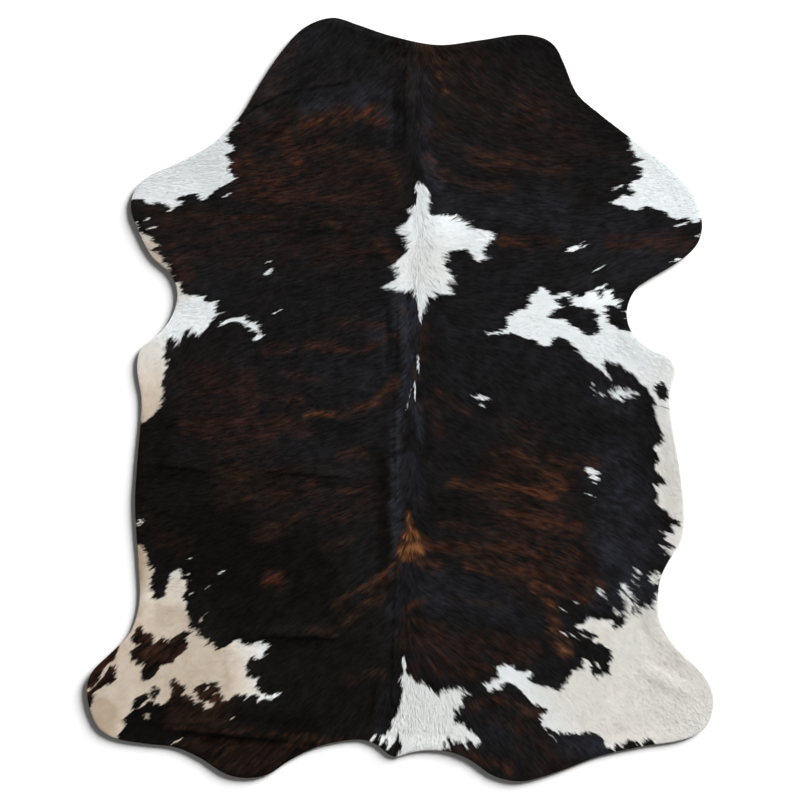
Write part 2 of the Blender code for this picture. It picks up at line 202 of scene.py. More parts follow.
# Pale markings: closed outlines that run past the cut edge where the marking does.
PALE_PATCHES = {
    "left fore shank": (
        (-489, 840), (-498, 812), (-513, 800), (-516, 771), (-500, 762), (-498, 750), (-504, 743),
        (-525, 734), (-516, 722), (-509, 716), (-508, 706), (-513, 695), (-500, 672), (-492, 666),
        (-511, 650), (-535, 638), (-564, 620), (-585, 598), (-598, 597), (-600, 607), (-616, 618),
        (-636, 618), (-654, 610), (-672, 602), (-656, 597), (-654, 590), (-660, 582), (-678, 578),
        (-686, 564), (-700, 565), (-691, 576), (-702, 585), (-734, 591), (-742, 583), (-774, 590),
        (-762, 596), (-780, 600), (-802, 598), (-870, 600), (-870, 760), (-640, 900), (-520, 900),
    ),
    "left elbow strip": (
        (-807, 560), (-790, 525), (-780, 505), (-770, 504), (-756, 495), (-744, 491), (-744, 477),
        (-735, 468), (-724, 460), (-741, 452), (-730, 443), (-716, 434), (-700, 424), (-712, 424),
        (-699, 408), (-700, 397), (-688, 383), (-680, 372), (-700, 340), (-800, 400), (-840, 500),
    ),
    "left elbow": (
        (-670, 357), (-660, 351), (-657, 333), (-651, 318), (-640, 316), (-627, 312), (-615, 308),
        (-602, 311), (-588, 311), (-584, 294), (-576, 291), (-563, 295), (-544, 299), (-553, 286),
        (-547, 279), (-553, 263), (-530, 263), (-545, 254), (-555, 246), (-564, 234), (-585, 213),
        (-598, 192), (-606, 196), (-606, 207), (-620, 206), (-634, 190), (-636, 206), (-646, 206),
        (-651, 194), (-667, 156), (-674, 182), (-690, 186), (-700, 177), (-703, 164), (-705, 134),
        (-702, 114), (-698, 98), (-706, 76), (-716, 48), (-707, 27), (-712, 9), (-717, -21),
        (-744, -51), (-760, -63), (-771, -75), (-780, -63), (-830, 0), (-830, 140), (-720, 260),
        (-700, 340),
    ),
    "left elbow arm": (
        (-536, 237), (-510, 245), (-476, 250), (-465, 254), (-457, 240), (-440, 231), (-424, 229),
        (-420, 215), (-423, 203), (-402, 195), (-428, 177), (-442, 180), (-430, 194), (-434, 203),
        (-452, 212), (-470, 226), (-502, 232), (-536, 224),
    ),
    "back star": (
        (54, 653), (40, 638), (51, 609), (44, 588), (24, 574), (32, 549), (11, 528), (-12, 513),
        (-2, 500), (9, 488), (18, 474), (16, 466), (22, 452), (10, 438), (-8, 424), (-30, 404),
        (-6, 388), (-11, 370), (-46, 345), (-47, 333), (-14, 332), (10, 323), (27, 330), (44, 315),
        (50, 292), (56, 248), (60, 226), (78, 271), (88, 306), (112, 316), (150, 314), (158, 331),
        (150, 343), (156, 353), (170, 364), (166, 372), (150, 382), (150, 394), (138, 402),
        (136, 416), (134, 429), (142, 440), (156, 447), (195, 453), (207, 453), (214, 443),
        (223, 434), (216, 415), (276, 422), (246, 444), (252, 458), (257, 471), (270, 479),
        (295, 491), (268, 510), (242, 518), (226, 514), (208, 538), (180, 539), (176, 548),
        (140, 555), (121, 558), (99, 550), (88, 571), (94, 600), (86, 628), (72, 648),
    ),
    "right fore shank": (
        (687, 784), (690, 768), (697, 756), (702, 742), (716, 730), (728, 721), (714, 715),
        (698, 706), (708, 700), (724, 694), (727, 684), (720, 676), (718, 665), (696, 658),
        (687, 644), (694, 634), (700, 617), (688, 613), (668, 618), (652, 606), (634, 594),
        (646, 584), (672, 583), (688, 570), (720, 569), (726, 580), (744, 580), (760, 574),
        (780, 569), (800, 560), (820, 548), (830, 538), (842, 544), (860, 545), (870, 538),
        (876, 528), (896, 530), (905, 543), (960, 560), (960, 700), (800, 860), (700, 830),
    ),
    "right chest": (
        (254, 198), (268, 203), (300, 204), (309, 213), (320, 223), (324, 240), (318, 250),
        (334, 254), (350, 265), (374, 274), (388, 288), (382, 301), (389, 310), (402, 323),
        (411, 334), (421, 343), (440, 330), (452, 319), (470, 314), (476, 324), (502, 328),
        (514, 317), (528, 308), (550, 311), (559, 323), (568, 332), (584, 326), (588, 341),
        (612, 345), (618, 335), (640, 328), (660, 322), (662, 300), (662, 280), (668, 264),
        (740, 300), (880, 160), (900, -60), (768, -15), (762, 0), (750, 14), (738, 33), (726, 43),
        (714, 49), (708, 62), (696, 76), (682, 85), (670, 95), (661, 107), (646, 112), (632, 105),
        (622, 114), (614, 116), (615, 104), (621, 90), (628, 76), (634, 62), (626, 64), (616, 76),
        (600, 92), (584, 100), (562, 118), (542, 134), (536, 150), (526, 160), (510, 166),
        (500, 182), (469, 190), (450, 165), (425, 157), (408, 177), (384, 181), (362, 190),
        (334, 202), (312, 196), (262, 194),
    ),
    "right chest splinter": (
        (628, 28), (655, 33), (692, 34), (710, 28), (715, 18), (696, 16), (684, 10), (672, 8),
        (661, 0), (642, 0), (630, 12),
    ),
    "right flank rim": (
        (765, -15), (762, -36), (770, -60), (778, -84), (786, -104), (788, -122), (780, -134),
        (756, -142), (766, -158), (777, -176), (777, -186), (765, -200), (762, -214), (776, -220),
        (786, -232), (794, -246), (794, -256), (756, -255), (768, -270), (772, -282), (771, -298),
        (766, -310), (782, -326), (804, -336), (812, -354), (828, -358), (837, -362), (836, -374),
        (812, -380), (820, -394), (788, -400), (798, -408), (790, -418), (800, -426), (814, -432),
        (822, -440), (816, -448), (786, -440), (792, -451), (810, -459), (801, -468), (786, -466),
        (798, -474), (813, -465), (840, -560), (900, -480), (900, -60),
    ),
    "right belly rim": (
        (782, -520), (762, -520), (749, -514), (750, -530), (742, -544), (752, -553), (768, -553),
        (776, -542), (786, -525), (840, -530), (840, -500),
    ),
    "right hind shank": (
        (780, -580), (764, -592), (760, -604), (748, -612), (742, -626), (728, -622), (714, -616),
        (700, -612), (695, -602), (703, -596), (714, -606), (720, -607), (706, -592), (694, -580),
        (686, -572), (684, -557), (678, -552), (670, -556), (665, -564), (668, -574), (682, -585),
        (687, -595), (675, -601), (677, -610), (682, -620), (679, -628), (682, -640), (667, -646),
        (673, -657), (678, -667), (664, -675), (654, -683), (648, -683), (642, -688), (635, -680),
        (644, -668), (634, -655), (612, -658), (600, -658), (575, -650), (560, -656), (547, -668),
        (536, -672), (530, -680), (536, -692), (550, -696), (556, -690), (570, -698), (584, -700),
        (590, -712), (578, -717), (570, -725), (586, -731), (604, -732), (614, -743), (628, -747),
        (636, -776), (617, -785), (618, -791), (632, -799), (629, -822), (612, -818), (606, -831),
        (594, -818), (584, -832), (574, -814), (576, -790), (566, -780), (546, -774), (544, -790),
        (548, -806), (534, -802), (524, -812), (506, -811), (516, -826), (510, -838), (488, -850),
        (484, -874), (468, -867), (452, -860), (434, -856), (414, -854), (394, -845), (380, -832),
        (408, -826), (396, -816), (376, -812), (360, -816), (340, -806), (356, -796), (334, -798),
        (316, -792), (300, -794), (290, -806), (296, -820), (298, -834), (278, -836), (268, -845),
        (252, -851), (256, -866), (264, -876), (284, -875), (282, -864), (304, -872), (309, -861),
        (314, -852), (332, -850), (346, -856), (356, -868), (370, -878), (378, -890), (390, -906),
        (404, -916), (424, -920), (447, -932), (432, -938), (426, -952), (422, -964), (426, -980),
        (434, -990), (450, -988), (470, -998), (494, -1000), (510, -1004), (536, -1002),
        (540, -1012), (552, -1002), (574, -998), (590, -1003), (604, -1012), (610, -1026),
        (614, -1042), (640, -1047), (650, -1110), (960, -1060), (1000, -860), (880, -700),
        (830, -610),
    ),
    "tail": (
        (14, -767), (19, -782), (21, -800), (18, -818), (26, -826), (44, -836), (60, -850),
        (76, -850), (90, -860), (100, -872), (112, -880), (118, -869), (138, -867), (152, -863),
        (172, -861), (188, -869), (218, -876), (201, -882), (186, -880), (184, -896), (191, -916),
        (188, -930), (166, -932), (163, -944), (164, -966), (182, -974), (199, -982), (222, -993),
        (236, -1008), (243, -1032), (234, -1038), (218, -1034), (211, -1026), (203, -1028),
        (200, -1042), (190, -1034), (176, -1028), (160, -1025), (150, -1024), (146, -1034),
        (138, -1041), (122, -1042), (126, -1053), (110, -1120), (-60, -1120), (-12, -1069),
        (0, -1055), (4, -1047), (7, -1035), (3, -1026), (-7, -1014), (-16, -1024), (-24, -1036),
        (-36, -1043), (-38, -1030), (-42, -1020), (-46, -1024), (-54, -1038), (-62, -1034),
        (-63, -1003), (-50, -1009), (-40, -1003), (-27, -988), (-27, -976), (-20, -952), (-9, -936),
        (-5, -916), (4, -896), (8, -872), (6, -850), (2, -836), (-4, -828), (10, -818), (8, -804),
        (4, -782),
    ),
    "left hind shank": (
        (-786, -428), (-774, -438), (-762, -458), (-754, -482), (-750, -508), (-738, -511),
        (-744, -528), (-748, -552), (-744, -568), (-744, -584), (-736, -600), (-720, -594),
        (-706, -588), (-702, -570), (-697, -552), (-688, -538), (-695, -528), (-688, -518),
        (-676, -514), (-664, -504), (-656, -502), (-655, -516), (-656, -532), (-640, -544),
        (-630, -542), (-640, -556), (-638, -568), (-646, -584), (-654, -592), (-650, -600),
        (-632, -604), (-638, -618), (-644, -636), (-632, -640), (-632, -656), (-630, -682),
        (-620, -690), (-604, -689), (-609, -700), (-596, -712), (-580, -713), (-576, -726),
        (-580, -734), (-554, -724), (-558, -738), (-548, -748), (-534, -744), (-516, -734),
        (-504, -722), (-486, -718), (-474, -714), (-482, -724), (-462, -734), (-444, -730),
        (-420, -720), (-414, -732), (-392, -728), (-384, -738), (-402, -751), (-412, -764),
        (-408, -778), (-430, -782), (-434, -769), (-450, -773), (-455, -786), (-461, -798),
        (-465, -806), (-454, -812), (-460, -827), (-446, -833), (-432, -838), (-432, -858),
        (-430, -872), (-414, -881), (-388, -884), (-370, -877), (-356, -876), (-360, -888),
        (-380, -895), (-404, -899), (-424, -903), (-428, -891), (-444, -888), (-462, -898),
        (-466, -886), (-498, -885), (-512, -900), (-526, -903), (-534, -889), (-541, -880),
        (-547, -886), (-553, -904), (-557, -918), (-572, -926), (-590, -926), (-593, -909),
        (-616, -915), (-623, -906), (-631, -890), (-644, -882), (-656, -888), (-668, -892),
        (-692, -912), (-708, -914), (-720, -911), (-736, -914), (-740, -905), (-756, -906),
        (-763, -918), (-780, -926), (-798, -934), (-812, -940), (-824, -952), (-832, -958),
        (-820, -972), (-830, -988), (-840, -1000), (-844, -1016), (-860, -1080), (-1000, -1000),
        (-1000, -800), (-900, -700), (-850, -600), (-850, -430),
    ),
}

# Dark markings inside the pale ones.
DARK_ISLANDS = {
    "chest first": (
        (470, 300), (476, 307), (514, 312), (516, 300), (510, 286), (500, 280), (474, 288),
    ),
    "chest second": (
        (446, 252), (468, 264), (462, 271), (506, 282), (524, 283), (540, 276), (566, 273),
        (588, 270), (594, 256), (590, 240), (596, 232), (596, 218), (594, 200), (570, 192),
        (550, 199), (543, 212), (530, 218), (507, 226), (502, 244), (458, 246),
    ),
    "chest third": (
        (616, 283), (638, 283), (656, 274), (672, 266), (683, 248), (696, 206), (680, 211),
        (660, 212), (650, 220), (634, 228), (628, 242), (622, 250), (620, 262), (618, 280),
    ),
    "chest nick": ((635, 323), (664, 324), (678, 298), (663, 289), (657, 302), (637, 302)),
    "chest notch": ((590, 331), (608, 332), (611, 308), (598, 306), (599, 318)),
    "belly speck": ((700, -621), (713, -624), (722, -632), (712, -635), (708, -646), (699, -634)),
    "flank spot": (
        (766, 42), (766, 30), (774, 8), (786, 0), (800, 5), (802, 20), (798, 38), (786, 54),
        (778, 46),
    ),
    "right hock first": (
        (642, -1050), (654, -1035), (660, -1044), (672, -1029), (681, -1038), (672, -1060),
    ),
    "right hock second": ((675, -1035), (690, -1020), (714, -1026), (723, -1041), (690, -1060)),
    "right hock third": ((732, -1023), (750, -1017), (765, -1029), (756, -1040), (732, -1042)),
    "left hock blotch": (
        (-808, -716), (-794, -698), (-784, -679), (-774, -680), (-770, -700), (-738, -703),
        (-740, -720), (-742, -736), (-728, -726), (-714, -712), (-702, -722), (-696, -734),
        (-690, -718), (-676, -711), (-660, -703), (-648, -694), (-630, -698), (-646, -714),
        (-640, -728), (-638, -744), (-656, -758), (-674, -770), (-684, -788), (-706, -793),
        (-720, -794), (-728, -808), (-736, -822), (-749, -837), (-766, -844), (-776, -838),
        (-774, -820), (-772, -800), (-774, -784), (-788, -792), (-797, -781), (-805, -769),
        (-808, -752), (-792, -744), (-790, -730), (-804, -724),
    ),
    "left hock rim": (
        (-846, -741), (-848, -754), (-858, -778), (-876, -788), (-888, -804), (-898, -826),
        (-908, -844), (-922, -862), (-935, -862), (-990, -860), (-900, -700),
    ),
    "left hock band": (
        (-874, -800), (-860, -796), (-854, -806), (-858, -824), (-856, -840), (-872, -854),
        (-880, -851), (-900, -866), (-916, -872), (-920, -884), (-926, -916), (-933, -930),
        (-990, -930), (-990, -876), (-936, -876), (-914, -862), (-900, -844), (-890, -832),
        (-882, -813),
    ),
    "left hock tongue": (
        (-798, -936), (-802, -914), (-796, -896), (-784, -890), (-766, -882), (-754, -884),
        (-756, -898), (-770, -908), (-786, -924),
    ),
    "left hock speck": (
        (-750, -865), (-740, -862), (-722, -872), (-726, -884), (-736, -902), (-744, -896),
        (-747, -884),
    ),
    "left hock tooth": (
        (-690, -843), (-674, -840), (-661, -850), (-648, -858), (-650, -874), (-658, -890),
        (-674, -914), (-702, -914), (-689, -884), (-681, -874), (-687, -862),
    ),
    "left hock bite": (
        (-624, -872), (-612, -861), (-592, -855), (-572, -850), (-552, -848), (-550, -860),
        (-538, -864), (-540, -876), (-532, -892), (-538, -908), (-576, -904), (-602, -906),
        (-604, -896), (-614, -882),
    ),
}

# Small pale strokes, from root end to tip end: (start, end, width).
PALE_STROKES = (
    ((499, 447), (536, 458), 18), ((524, 456), (562, 478), 6), ((530, 451), (572, 468), 6),
    ((574, 382), (614, 402), 6), ((554, -206), (596, -222), 21), ((562, -230), (604, -235), 13),
    ((576, -246), (596, -251), 8), ((555, -278), (591, -294), 7), ((221, 6), (267, 6), 17),
    ((237, -8), (250, -22), 13), ((56, 134), (58, 84), 10), ((43, 58), (46, -2), 10),
    ((29, 37), (32, 15), 5), ((23, -6), (17, -32), 6), ((-384, 394), (-408, 374), 16),
    ((-393, 418), (-401, 410), 7), ((-354, 273), (-378, 259), 7), ((-507, 625), (-537, 606), 9),
    ((-492, 831), (-506, 803), 9), ((-480, 852), (-486, 837), 6), ((-753, 546), (-771, 537), 8),
    ((-726, 522), (-762, 513), 8), ((818, 520), (870, 536), 8), ((633, 628), (672, 648), 9),
    ((886, 486), (903, 500), 8), ((816, 416), (846, 428), 10), ((573, 57), (588, 43), 8),
    ((572, 36), (590, 24), 8), ((597, 24), (616, 11), 13), ((570, 18), (590, 8), 4),
    ((606, 338), (615, 350), 7), ((704, -507), (727, -525), 14), ((693, -521), (704, -533), 9),
    ((684, -536), (706, -555), 7), ((654, -568), (678, -598), 14), ((645, -602), (657, -622), 5),
    ((649, -629), (655, -653), 9), ((708, -614), (737, -632), 6), ((587, -571), (628, -597), 9),
    ((594, -565), (618, -578), 13), ((516, -601), (544, -612), 9), ((480, -620), (504, -640), 6),
    ((483, -695), (504, -708), 7), ((504, -696), (530, -716), 7), ((541, -703), (567, -712), 8),
    ((444, -1002), (470, -1018), 6), ((591, -787), (602, -808), 11), ((-768, -942), (-750, -960), 12),
    ((-498, -948), (-510, -957), 8), ((-657, -1016), (-687, -1032), 8), ((-776, -354), (-790, -382), 11),
    ((-524, -511), (-552, -527), 8), ((-630, -474), (-642, -483), 7), ((-630, -519), (-642, -531), 7),
    ((-618, -578), (-638, -590), 7), ((-573, -558), (-586, -568), 5), ((-588, -640), (-600, -670), 9),
    ((-78, -1006), (-86, -1026), 14), ((-571, -859), (-590, -873), 9), ((-540, -874), (-560, -880), 6),
)

# Brindle, as soft strokes: (start, end, half width, strength, redness).
BRINDLE = (
    # faint and wide, under the stripes
    ((-400, 760), (-100, 640), 110, 0.20, 0.7), ((100, 1000), (450, 820), 110, 0.14, 0.5),
    ((-650, 480), (-150, 480), 90, 0.14, 0.7), ((-560, 20), (-440, -60), 110, 0.18, 0.8),
    ((-480, -260), (-150, -300), 80, 0.13, 0.6), ((360, -280), (440, -480), 130, 0.26, 0.6),
    # the neck, left of the back
    ((-400, 930), (-360, 1060), 50, 0.14, 0.2), ((-440, 830), (-330, 860), 35, 0.14, 0.2),
    ((-280, 830), (-160, 850), 30, 0.60, 0.6), ((-100, 860), (-60, 850), 26, 0.60, 0.7),
    ((-350, 780), (-300, 700), 26, 0.62, 0.7), ((-470, 700), (-380, 660), 36, 0.65, 0.9),
    ((-140, 740), (-60, 710), 14, 0.40, 0.4), ((-60, 740), (-10, 650), 18, 0.42, 0.4),
    ((-320, 760), (-190, 760), 30, 0.38, 0.7), ((-260, 605), (-90, 595), 18, 0.50, 0.9),
    ((-480, 640), (-300, 600), 36, 0.35, 0.8), ((-20, 690), (-10, 670), 12, 0.45, 0.4),
    # the neck, right of the back
    ((60, 1050), (130, 1020), 22, 0.45, 0.1), ((115, 970), (138, 925), 9, 0.80, 0.1),
    ((160, 1040), (230, 1020), 26, 0.28, 0.5), ((160, 960), (330, 880), 70, 0.18, 0.1),
    ((370, 890), (460, 820), 34, 0.36, 0.9), ((215, 735), (315, 700), 24, 0.48, 0.5),
    ((330, 730), (480, 690), 26, 0.36, 0.8), ((85, 720), (130, 660), 18, 0.40, 0.3),
    ((170, 650), (320, 635), 16, 0.36, 0.4), ((510, 750), (690, 735), 26, 0.10, 0.3),
    ((305, 480), (390, 465), 16, 0.60, 0.6), ((400, 470), (480, 470), 14, 0.30, 0.7),
    ((640, 472), (862, 476), 26, 0.34, 0.8), ((90, 830), (150, 780), 40, 0.20, 0.4),
    # the left shoulder
    ((-700, 540), (-640, 360), 26, 0.26, 0.7), ((-620, 540), (-430, 500), 45, 0.20, 0.8),
    ((-500, 550), (-385, 545), 9, 0.55, 0.9), ((-238, 528), (-190, 524), 12, 0.40, 0.4),
    ((-215, 470), (-115, 440), 30, 0.20, 0.8), ((-330, 590), (-270, 550), 26, 0.20, 0.0),
    ((-780, 590), (-720, 560), 24, 0.14, 0.2), ((-60, 470), (-20, 430), 18, 0.34, 0.6),
    ((-10, 300), (15, 250), 10, 0.30, 0.4), ((-200, 235), (-60, 215), 14, 0.35, 0.7),
    ((-130, 250), (-10, 190), 12, 0.40, 0.6),
    # the left ribs
    ((-405, 145), (-330, 150), 13, 0.42, 0.7), ((-280, 165), (-190, 155), 15, 0.50, 0.6),
    ((-180, 152), (-95, 150), 9, 0.45, 0.5), ((-90, 158), (-15, 200), 10, 0.40, 0.4),
    ((-345, 80), (-245, 60), 14, 0.26, 0.6), ((-580, 80), (-570, -40), 26, 0.26, 0.9),
    ((-460, 60), (-450, -40), 36, 0.34, 0.9), ((-360, 5), (-298, 0), 12, 0.50, 0.3),
    ((-280, -43), (-200, -45), 12, 0.75, 0.2), ((-185, -45), (-90, -20), 14, 0.50, 0.6),
    ((-90, -20), (-12, 60), 14, 0.50, 0.5), ((-640, -80), (-560, -100), 30, 0.26, 0.9),
    ((-560, -90), (-400, -90), 40, 0.40, 0.9), ((-400, -80), (-300, -70), 20, 0.36, 0.8),
    ((-395, -105), (-280, -98), 14, 0.45, 0.8), ((-185, -165), (-110, -165), 14, 0.42, 0.5),
    ((-540, -150), (-460, -280), 40, 0.28, 0.6), ((-415, -260), (-350, -290), 30, 0.30, 0.7),
    ((-270, -260), (-230, -320), 22, 0.42, 0.7), ((-185, -280), (-100, -262), 12, 0.45, 0.4),
    ((-195, -350), (-145, -350), 14, 0.42, 0.8), ((-345, -370), (-285, -335), 12, 0.22, 0.2),
    ((-430, -410), (-375, -385), 22, 0.32, 0.6), ((-230, -450), (-145, -420), 14, 0.22, 0.2),
    ((-780, -360), (-640, -440), 36, 0.08, 0.2),
    # the left loin, rump and hock
    ((-394, -538), (-360, -540), 20, 0.75, 0.8), ((-190, -620), (-140, -575), 14, 0.36, 0.6),
    ((-120, -570), (-10, -505), 12, 0.50, 0.5), ((-170, -670), (-135, -650), 12, 0.60, 0.5),
    ((-140, -650), (-60, -590), 12, 0.34, 0.4), ((-165, -845), (-60, -820), 14, 0.24, 0.1),
    ((-270, -690), (-200, -700), 12, 0.24, 0.2), ((-790, -700), (-700, -760), 60, 0.40, 0.5),
    ((-940, -850), (-870, -770), 50, 0.36, 0.7), ((-700, -900), (-660, -870), 20, 0.40, 0.3),
    ((-620, -880), (-550, -900), 36, 0.42, 0.3), ((-690, -950), (-540, -950), 26, 0.20, 0.4),
    # the first stroke below is a painted highlight along the left rump fold's ridge, drawn as brindle
    ((-700, -982), (-84, -1026), 6, 0.32, 0.5), ((-600, -1050), (-380, -1080), 60, 0.17, 0.5),
    ((-350, -1030), (-200, -1025), 12, 0.40, 0.5), ((-450, -1110), (-330, -1100), 30, 0.16, 0.4),
    # right of the back, from the shoulder to the loin
    ((75, 220), (80, 130), 18, 0.22, 0.3), ((35, 98), (45, 60), 9, 0.60, 0.5),
    ((80, -10), (110, -90), 22, 0.28, 0.3), ((110, 20), (150, 0), 12, 0.28, 0.6),
    ((150, -8), (200, -40), 12, 0.30, 0.3), ((300, -70), (420, -100), 22, 0.20, 0.4),
    ((340, -110), (400, -140), 16, 0.22, 0.2), ((275, -160), (360, -168), 9, 0.50, 0.4),
    ((350, -165), (480, -235), 16, 0.58, 0.4), ((470, -185), (570, -200), 26, 0.42, 0.6),
    ((150, -250), (290, -272), 15, 0.50, 0.3), ((290, -270), (460, -280), 22, 0.72, 0.5),
    ((400, -275), (490, -262), 26, 0.66, 0.6), ((300, -350), (480, -345), 18, 0.56, 0.7),
    ((370, -372), (540, -385), 18, 0.54, 0.7), ((130, -370), (290, -400), 12, 0.34, 0.2),
    ((180, -440), (330, -465), 20, 0.50, 0.4), ((330, -430), (520, -480), 26, 0.56, 0.6),
    ((200, -495), (400, -520), 20, 0.50, 0.6), ((380, -500), (560, -550), 28, 0.38, 0.7),
    ((400, -565), (560, -590), 20, 0.62, 0.4), ((540, -535), (600, -560), 14, 0.60, 0.4),
    ((455, -700), (500, -756), 20, 1.00, 0.0), ((450, -600), (470, -690), 22, 0.66, 0.3),
    ((20, -630), (60, -600), 8, 0.60, 0.7), ((20, -660), (120, -690), 14, 0.40, 0.7),
    ((30, -720), (380, -760), 40, 0.28, 0.8), ((150, -590), (300, -620), 8, 0.26, 0.3),
    ((70, -800), (280, -810), 36, 0.32, 0.7), ((210, -920), (300, -900), 14, 0.48, 0.8),
    ((310, -905), (420, -950), 14, 0.42, 0.2), ((280, -960), (380, -990), 20, 0.30, 0.6),
    ((210, -1075), (330, -1110), 16, 0.48, 0.7), ((135, -1045), (200, -1060), 10, 0.50, 0.4),
    ((380, -1060), (480, -1120), 60, 0.14, 0.6), ((-90, -567), (-6, -486), 9, 0.60, 0.3),
    ((76, -436), (134, -442), 20, 0.62, 0.7), ((134, -446), (180, -480), 8, 0.50, 0.6),
    ((60, -300), (66, -312), 8, 0.50, 0.7), ((60, -492), (110, -505), 16, 0.55, 0.3),
)
WHORL = (                   # the sunburnt turn of hair over the loin: (start, end, half width)
    ((24, -352), (28, -400), 9), ((22, -412), (46, -412), 18), ((14, -452), (56, -452), 24),
)

# The dark ground under the brindle, its lighter levels partly painted sheen, as soft strokes laid one
# over the other:
# (start, end, half width, level), from 0, deep black, to 1, a light blue-black painted sheen.
GROUND_AND_SHEEN = (
    ((-760, -120), (-760, -420), 120, 0.22), ((-560, -450), (-400, -640), 150, 0.12),
    ((-300, -500), (-300, -680), 120, 0.16), ((-230, -760), (-180, -960), 190, 0.22),
    ((-830, -960), (-300, -1000), 70, 0.06), ((-580, -1080), (-350, -1080), 90, 0.04),
    ((-800, -740), (-700, -760), 80, 0.0), ((-930, -870), (-870, -780), 70, 0.0),
    ((-700, -885), (-550, -900), 40, 0.0),
    ((-640, 90), (-620, -120), 60, 0.34), ((-560, 400), (-200, 330), 110, 0.42),
    ((-330, -180), (-200, -200), 70, 0.50), ((-230, 100), (-120, 60), 60, 0.56),
    ((180, 330), (560, 300), 110, 0.50), ((250, 130), (620, 60), 140, 0.52),
    ((300, -40), (650, -60), 90, 0.44), ((110, 590), (480, 560), 60, 0.70),
    ((520, 700), (640, 560), 80, 0.38), ((600, 490), (800, 450), 80, 0.64),
    ((650, -200), (700, -420), 80, 0.80), ((600, -590), (740, -560), 45, 0.85),
    ((610, -420), (680, -540), 45, 0.95),
    ((60, -300), (200, -320), 40, 0.25), ((60, -540), (360, -640), 55, 0.64),
    ((-320, 1090), (-420, 900), 60, 0.56), ((-280, 885), (-60, 925), 32, 0.74),
    ((-110, 895), (-20, 830), 26, 0.90), ((-130, 1060), (-60, 1020), 60, 0.40),
    ((200, 960), (380, 900), 90, 0.40), ((350, 1050), (460, 990), 70, 0.36),
    ((60, 960), (80, 800), 26, 0.74), ((75, 730), (110, 640), 22, 0.95),
    ((150, 770), (230, 760), 30, 0.60),
    ((180, -950), (300, -1010), 50, 0.55), ((520, -1030), (600, -1060), 50, 0.80),
    ((-40, 180), (-30, 60), 22, 0.62), ((-12, 330), (-10, 230), 24, 1.00),
    ((40, 280), (20, 0), 22, 1.00), ((-75, 240), (-75, 190), 26, 0.75),
    ((590, 20), (680, -20), 30, 0.80),
    ((260, -230), (480, -240), 50, 0.26), ((-600, -240), (-350, -250), 60, 0.26),
    ((-50, -200), (-46, -560), 20, 0.10), ((-12, -30), (-14, -460), 15, 1.00),
    ((52, -20), (56, -120), 14, 1.00), ((30, -190), (60, -330), 26, 0.72),
    ((-10, -500), (-10, -700), 20, 0.70), ((70, -600), (110, -620), 30, 0.80),
    ((-30, -840), (-60, -990), 24, 0.50),
)
GROUND_AND_SHEEN_LEVEL = 0.40         # where no stroke says otherwise

# Cream rather than white: (centre, half sizes, strength).
CREAM = (
    ((-760, -20), (90, 150), 0.8), ((-730, 420), (110, 110), 0.75),
    ((800, -300), (90, 330), 0.27), ((720, -840), (300, 250), 0.27),
    ((800, -790), (90, 40), 0.42), ((660, -990), (80, 60), 0.4), ((-775, -850), (325, 290), 0.82),
    ((-900, -950), (100, 120), 1.0), ((-760, -560), (110, 90), 0.62), ((-680, -570), (80, 90), 0.56),
    ((-780, -700), (100, 40), 0.9), ((-800, -500), (70, 130), 1.2),
    ((95, 405), (80, 60), 0.14), ((90, -940), (190, 160), 0.1),
)

CREAM_EDGE = 60.0           # how softly cream turns to white

# Longer, looser hair: (centre, half sizes, extra length as a share).
SHAGGY = (
    ((100, 430), (190, 150), 0.35), ((90, -930), (150, 160), 0.35), ((700, -540), (150, 110), 0.45),
    ((600, 60), (140, 100), 0.35), ((-640, 190), (110, 90), 0.45), ((40, -40), (60, 330), 0.2),
)
SHAGGY_EDGE = 40.0

# Noise drawn out along the hair: name: (length, grain, seed).
STREAKS = {
    "long": (70.0, 7.0, SEED + 2),
    "fine": (20.0, 3.4, SEED + 3),
    "blotch": (36.0, 14.0, SEED + 10),
    "lock": (24.0, 5.0, SEED + 1),
}
# Soft round noise: (grain, seed).
CLOUDS = ((40.0, SEED + 7), (13.0, SEED + 8))
SWIRLS = ((26.0, SEED + 5), (70.0, SEED + 6))

WANDER = 16.0               # a soft stroke's edge wanders by up to half of this to each side,
WANDER_GRAIN = 24.0         # in lumps of this size
STROKE_EDGE = 6.0           # the softest a narrow stroke's edge can be,
STROKE_EDGE_SHARE = 0.5     # and what its half width adds to that

# How raggedly a marking ends, as shares of the hair's reach.
LOCK_RAGGEDNESS = 0.9
SHAGGY_RAGGEDNESS = 0.5
HAIR_RAGGEDNESS = 0.3

# How the brindle takes up the streaks.
BRINDLE_STREAKS = {"long": 0.42, "blotch": 0.43, "fine": 0.15}
BRINDLE_TRACE = 0.03        # some warm hair is in the coat everywhere
BRINDLE_REDNESS = 0.4       # where no stroke says otherwise
STREAK_GAIN = 2.4
STREAK_LOSS = 0.25
STREAK_PEAK = 1.8
WARM_PEAK = 1.6             # the strength at which the warm colours are full
WHORL_STREAKS = (0.9, 1.2)  # the whorl's strength, and what a streak adds

# What a cloud does to the ground with its painted sheen, and to the cream: (level in the cloud's low
# part, what its high part adds).
GROUND_AND_SHEEN_CLOUDS = (0.6, 0.8)
CREAM_CLOUDS = (0.88, 0.24)
SHADE_SHARES = (0.6, 0.15, 0.25)  # what streaks, clouds and single hairs do to the shading


# ---------------------------------------------------------------- outline and relief

